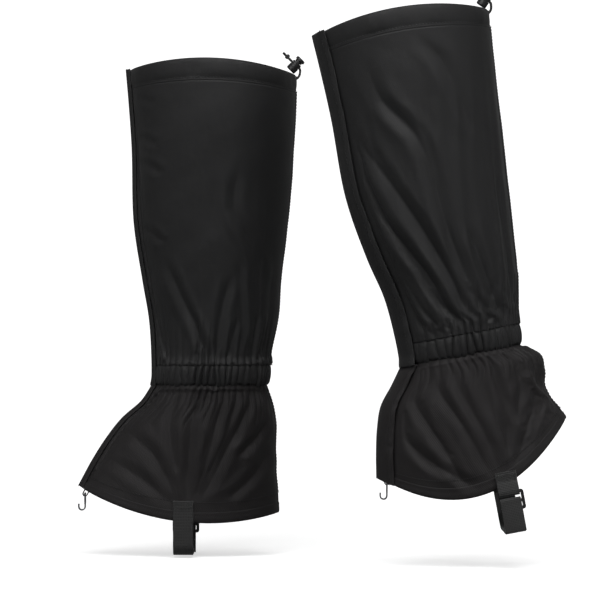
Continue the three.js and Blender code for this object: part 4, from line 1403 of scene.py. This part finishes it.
def drawcord(gaiter):
    c, sleeve = cord, gaiter.calf
    share = np.array([sleeve.shareAt(gaiter.height - c["below"])])
    around = float(sleeve.round(share)[0])
    at = lambda arc: sleeve.points(share, np.array([[arc]]), -3.1)[0, 0]
    exit = at(around / 2)
    lean = math.radians(c["lean"])
    up = np.array([-math.cos(lean), 0, math.sin(lean)])
    lock = exit + [c["out"], 0, c["rise"]]
    inAt, tip = lock - up * (c["body"] / 2 + 1), lock + up * (c["body"] / 2 + c["tail"])
    halves = (("outer", -4, around / 2 - 7, 1), ("inner", around - 12, around / 2 + 7, -1))
    for part, start, stop, way in halves:
        y = way * gaiter.lateral * c["apart"] / 2
        points = [at(arc) for arc in np.linspace(start, stop, 16)]
        points.append(exit + [0.9, y * 2.6, 0.1])
        for out, rise, apart in ((3.6, 0.6, 1.3), (6.0, 3.2, 1.0), (6.8, 6.2, 1.0)):
            points.append(exit + [out, y * apart, rise])
        points += [inAt * (1 - w) + tip * w + [0, y, 0] for w in (0, 0.25, 0.5, 0.75, 0.88)]
        points += [tip + [0, y * 0.5, 0] + up * 1.5, tip + [0, y * 1.6, 0] + up * 5.5]
        path = evenly(curveThrough(points)(np.linspace(0, 1, 700)), 300)
        obj = tube(gaiter, "drawcord_" + part, path, c["diameter"] / 2, 12, "cord")
        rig.ride(obj, gaiter.name("calf"))
        if part == "outer":
            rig.replaces(obj, gaiter.name("drawcord"))
        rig.slot(obj, "cord")
        placed = gaiter.put(path)
        length = float(np.linalg.norm(np.diff(placed, axis=0), axis=1).sum())
        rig.cord(obj, exit=tuple(placed[0]), length=length, diameter=c["diameter"] * mm, far_end="knot",
                stiffness="limp", lay="taut", path=[tuple(p) for p in placed])
    turn = np.linspace(0, 2 * np.pi, 121)
    loop = np.column_stack([np.sin(turn) + 2 * np.sin(2 * turn), np.cos(turn) - 2 * np.cos(2 * turn),
                            -np.sin(3 * turn)])
    side, other = np.array([0, 1.0, 0]), np.cross(up, [0, 1.0, 0])
    path = tip + c["knot"] * (loop[:, :1] * side + loop[:, 1:2] * other + loop[:, 2:] * up * 1.3)
    knot = tube(gaiter, "drawcord_knot", path, c["knotRadius"], 10, "cord")
    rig.ride(knot, gaiter.name("calf"))
    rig.slot(knot, "cord")
    gaiter.mouth = exit + [3.1, 0, 0.2]


# Hardware from the model, with rounded edges

def roundShading():
    tree = bpy.data.node_groups.new("roundShading", "GeometryNodeTree")
    tree.interface.new_socket("Geometry", in_out="INPUT", socket_type="NodeSocketGeometry")
    tree.interface.new_socket("Geometry", in_out="OUTPUT", socket_type="NodeSocketGeometry")
    kinds = ("NodeGroupInput", "GeometryNodeSetShadeSmooth", "NodeGroupOutput")
    start, shade, end = (tree.nodes.new(kind) for kind in kinds)
    tree.links.new(start.outputs[0], shade.inputs["Geometry"])
    tree.links.new(shade.outputs[0], end.inputs[0])
    return tree


def weld(obj):
    # a node's mesh is loose triangles until their corners are joined
    obj.modifiers.new("weld", "WELD").merge_threshold = 0.00001


hardware = [  # node, finish and width of its bevelled edges
    ("ladder_buckle", "plastic", 0.5), ("cord_lock_barrel", "plastic", 0.25),
    ("cord_lock_button", "plastic", 0.25), ("lace_hook", "steel", 0.3), ("ankle_elastic", "webbing", 0),
]
smoothTree = roundShading()


def fitHardware(gaiter):
    for part, finish, bevel in hardware:
        obj = frame["nodes"][gaiter.name(part)]
        for place in obj.material_slots:
            place.material = finishes[finish]
        weld(obj)
        if bevel:
            edges = obj.modifiers.new("edges", "BEVEL")
            edges.width, edges.segments, edges.limit_method = bevel * mm, 2, "ANGLE"
            edges.angle_limit = math.radians(32)
        obj.modifiers.new("shading", "NODES").node_group = smoothTree
        if bevel:
            obj.modifiers.new("normals", "WEIGHTED_NORMAL")


for gaiter in pair:
    webbingPieces(gaiter)
    drawcord(gaiter)
    fitHardware(gaiter)
print("webbing, cords and hardware made")


# Stitches: a thread standing along each line at an even pitch

def stitchTree():
    tree = bpy.data.node_groups.new("stitching", "GeometryNodeTree")
    face = tree.interface
    face.new_socket("Geometry", in_out="INPUT", socket_type="NodeSocketGeometry")
    for name, value in (("Pitch", 0.003), ("Stitch Length", 0.0024), ("Thread", 0.0003)):
        face.new_socket(name, in_out="INPUT", socket_type="NodeSocketFloat").default_value = value
    face.new_socket("Finish", in_out="INPUT", socket_type="NodeSocketMaterial")
    face.new_socket("Geometry", in_out="OUTPUT", socket_type="NodeSocketGeometry")
    made = {}

    def add(key, kind, **links):
        node = made[key] = tree.nodes.new(kind)
        for socket, source in links.items():
            name = socket.replace("_", " ")
            target = next(i for i in node.inputs if i.name == name and i.enabled)
            if isinstance(source, tuple):
                tree.links.new(made[source[0]].outputs[source[1]], target)
            else:
                target.default_value = source
        return node

    add("in", "NodeGroupInput")
    add("curve", "GeometryNodeMeshToCurve", Mesh=("in", "Geometry"))
    resample = add("points", "GeometryNodeResampleCurve", Curve=("curve", 0))
    resample.mode = "LENGTH"
    tree.links.new(made["in"].outputs["Pitch"], resample.inputs["Length"])
    add("tangent", "GeometryNodeInputTangent")
    turn = add("turn", "FunctionNodeAlignRotationToVector", Vector=("tangent", 0))
    turn.axis = "X"
    add("bead", "GeometryNodeMeshUVSphere", Segments=6, Rings=4, Radius=1.0)
    half = add("half", "ShaderNodeMath")
    half.operation = "MULTIPLY"
    tree.links.new(made["in"].outputs["Stitch Length"], half.inputs[0])
    half.inputs[1].default_value = 0.5
    add("size", "ShaderNodeCombineXYZ", X=("half", 0), Y=("in", "Thread"), Z=("in", "Thread"))
    add("stitch", "GeometryNodeTransform", Geometry=("bead", 0), Scale=("size", 0))
    add("laid", "GeometryNodeInstanceOnPoints", Points=("points", 0), Instance=("stitch", 0),
        Rotation=("turn", 0))
    add("real", "GeometryNodeRealizeInstances", Geometry=("laid", 0))
    add("smooth", "GeometryNodeSetShadeSmooth", Geometry=("real", 0))
    add("finish", "GeometryNodeSetMaterial", Geometry=("smooth", 0), Material=("in", "Finish"))
    add("out", "NodeGroupOutput")
    tree.links.new(made["finish"].outputs[0], made["out"].inputs[0])
    return tree


stitching = stitchTree()
stitches = {"pitch": 3.2, "length": 2.5, "thread": 0.32, "besideSeam": 2, "proud": 0.0002, "hemProud": 0.0009}


def sew(gaiter, part, lines, slotName, place):
    # lines are lists of points in the row frame
    points, edges = [], []
    for line in lines:
        first = len(points)
        points += [tuple(p) for p in line]
        edges += [(i, i + 1) for i in range(first, len(points) - 1)]
    mesh = bpy.data.meshes.new(gaiter.name(part))
    mesh.from_pydata(points, edges, [])
    obj = bpy.data.objects.new(gaiter.name(part), mesh)
    bpy.context.scene.collection.objects.link(obj)
    modifier = obj.modifiers.new("stitching", "NODES")
    modifier.node_group = stitching
    values = {"Pitch": stitches["pitch"] * mm, "Stitch Length": stitches["length"] * mm,
              "Thread": stitches["thread"] * mm, "Finish": finishes["thread"]}
    for item in stitching.interface.items_tree:
        if item.name in values and item.in_out == "INPUT":
            modifier[item.identifier] = values[item.name]
    obj.data.update()
    baked(obj)
    place(obj)
    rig.slot(obj, slotName)


def onGrid(grid, lateral, row, columns, lift):
    # a line along one row of a cloth's outer side
    normal = gridNormals(grid, lateral)
    return grid[row][columns] + normal[row][columns] * lift


def downGrid(grid, lateral, shares, lift):
    # a line down a cloth's outer side, at a share of each row's columns
    normal = gridNormals(grid, lateral)
    place = np.broadcast_to(shares, len(grid)) * (grid.shape[1] - 1)
    i = place.astype(int)
    w = (place - i)[:, None]
    rows = np.arange(len(grid))
    at = lambda values: values[rows, i] * (1 - w) + values[rows, i + 1] * w
    return at(grid) + at(normal) * lift


def besideSeam(gaiter, grid, whole, apart):
    shares = (whole / 2 + apart - shape["outerEdge"]) / (whole - shape["innerEdge"] - shape["outerEdge"])
    return downGrid(grid, gaiter.lateral, shares, stitches["proud"])


def seams(gaiter):
    calf, skirt = gaiter.calf, gaiter.skirt
    half = shape["band"] / 2
    ride = lambda body: (lambda obj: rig.ride(obj, gaiter.name(body)))

    def ring(z, offset):
        t = np.array([calf.shareAt(z)])
        whole = float(calf.round(t)[0])
        arcs = np.linspace(shape["outerEdge"] + 2, whole - shape["innerEdge"] - 2, 260)[None, :]
        return gaiter.put(calf.points(t, arcs, offset)[0])

    top = gaiter.height - 17.4
    calfLines = [ring(top, 0.15), ring(half - 2.6, -0.3), ring(2.2 - half, -0.5)]
    turn = np.linspace(0, 2 * np.pi, 33)
    oval = np.column_stack([0.2 + 0 * turn, 4.6 * np.cos(turn), 2.5 * np.sin(turn)])
    calfLines.append(gaiter.put(gaiter.mouth + oval))
    whole = calf.round(np.linspace(*calfSpan(gaiter), len(gaiter.calfGrid)))
    sides = -stitches["besideSeam"], stitches["besideSeam"]
    calfLines += [besideSeam(gaiter, gaiter.calfGrid, whole, apart) for apart in sides]
    sew(gaiter, "calf_stitches", calfLines, "calf_cloth", ride("calf"))
    upper, lower = gaiter.flapLines
    sew(gaiter, "flap_stitches", upper, "calf_cloth", ride("calf_closure"))
    sew(gaiter, "skirt_flap_stitches", lower, "skirt_cloth", ride("skirt_closure"))
    grid = gaiter.skirtGrid
    rows = len(grid)
    columns = np.arange(2, grid.shape[1] - 2)
    skirtLines = [onGrid(grid, gaiter.lateral, rows - 12, columns, stitches["hemProud"])]
    whole = skirt.round(np.linspace(0, 1, rows))
    skirtLines += [besideSeam(gaiter, grid, whole, apart)[8:-12] for apart in sides]
    x, y, z = gaiter.tabTop
    w = webbing["width"] / 2 - 2.2
    box = [(-w, -3.5), (w, -3.5), (w, -12), (-w, -12), (-w, -3.5), (w, -12), (w, -3.5), (-w, -12)]
    skirtLines.append(gaiter.put([(x + a, y, z + b) for a, b in evenly(box, 90)]))
    bend = ankleLine(gaiter, -half - 1, -half - 35)
    sew(gaiter, "skirt_stitches", skirtLines, "skirt_cloth",
        lambda obj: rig.blend(obj, gaiter.name("calf"), gaiter.name("skirt"), *bend))
    x, y, z = gaiter.strapTop
    box = [(-w, -2.5), (w, -2.5), (w, -8), (-w, -8), (-w, -2.5)]
    strapBox = gaiter.put([(x + a, y, z + b) for a, b in evenly(box, 60)])
    sew(gaiter, "strap_stitches", [strapBox], "webbing", ride("strap"))


def lockSpring(gaiter):
    # the spring shortens in the barrel as the button goes in
    node = frame["nodes"][gaiter.name("cord_lock_spring")]
    obj = bpy.data.objects.new(gaiter.name("lock_coil"), node.data.copy())
    bpy.context.scene.collection.objects.link(obj)
    weld(obj)
    baked(obj)
    obj.data.materials.clear()
    obj.data.materials.append(finishes["steel"])
    press = next(j for j in frame["joints"] if j["name"] == gaiter.name("lock_button_press"))
    way = np.array(press["axis"])
    points = np.array([v.co for v in obj.data.vertices])
    depth = points @ way
    travel = max(press["range_m"])
    keep = 1 - travel / float(depth.max() - depth.min())
    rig.ride(obj, gaiter.name("cord_lock"))
    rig.replaces(obj, gaiter.name("cord_lock_spring"))
    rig.slot(obj, "steel")
    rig.squash(obj, press["name"], tuple(way), tuple(points[depth.argmax()]), keep)


for gaiter in pair:
    lockSpring(gaiter)
    seams(gaiter)
print("stitches made")


# Floor and backdrop

def stagePlane(name, corners, finish):
    mesh = bpy.data.meshes.new(name)
    mesh.from_pydata(corners, [], [(0, 1, 2, 3)])
    mesh.materials.append(finish)
    obj = bpy.data.objects.new(name, mesh)
    bpy.context.scene.collection.objects.link(obj)
    # its glow shows only to the camera and lights nothing; on the floor it is painted light, brighter away from the
    # object
    obj.visible_diffuse = obj.visible_glossy = False
    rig.stage(obj)


# near and far are the floor's painted glow, dimmer by the object and brighter away from it; the backdrop glows evenly
# at far
stage = {"side": 20, "behind": 6, "tall": 9, "color": (0.86, 0.86, 0.86), "near": 0.62, "far": 0.98}
low, side, behind, tall = view["floor"], stage["side"], stage["behind"], stage["tall"]
stagePlane("floor", [(-side, -side, low), (side, -side, low), (side, behind, low), (-side, behind, low)],
           stageFinish("paleFloor", stage["color"], stage["near"], stage["far"]))
stagePlane("backdrop", [(-side, behind, low), (side, behind, low), (side, behind, tall), (-side, behind, tall)],
           stageFinish("backdrop", stage["color"], stage["far"], stage["far"]))

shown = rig.bounds()
json.dump({"cad": [list(p) for p in cadBox], "visual": [list(p) for p in shown]},
          open("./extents.json", "w"))
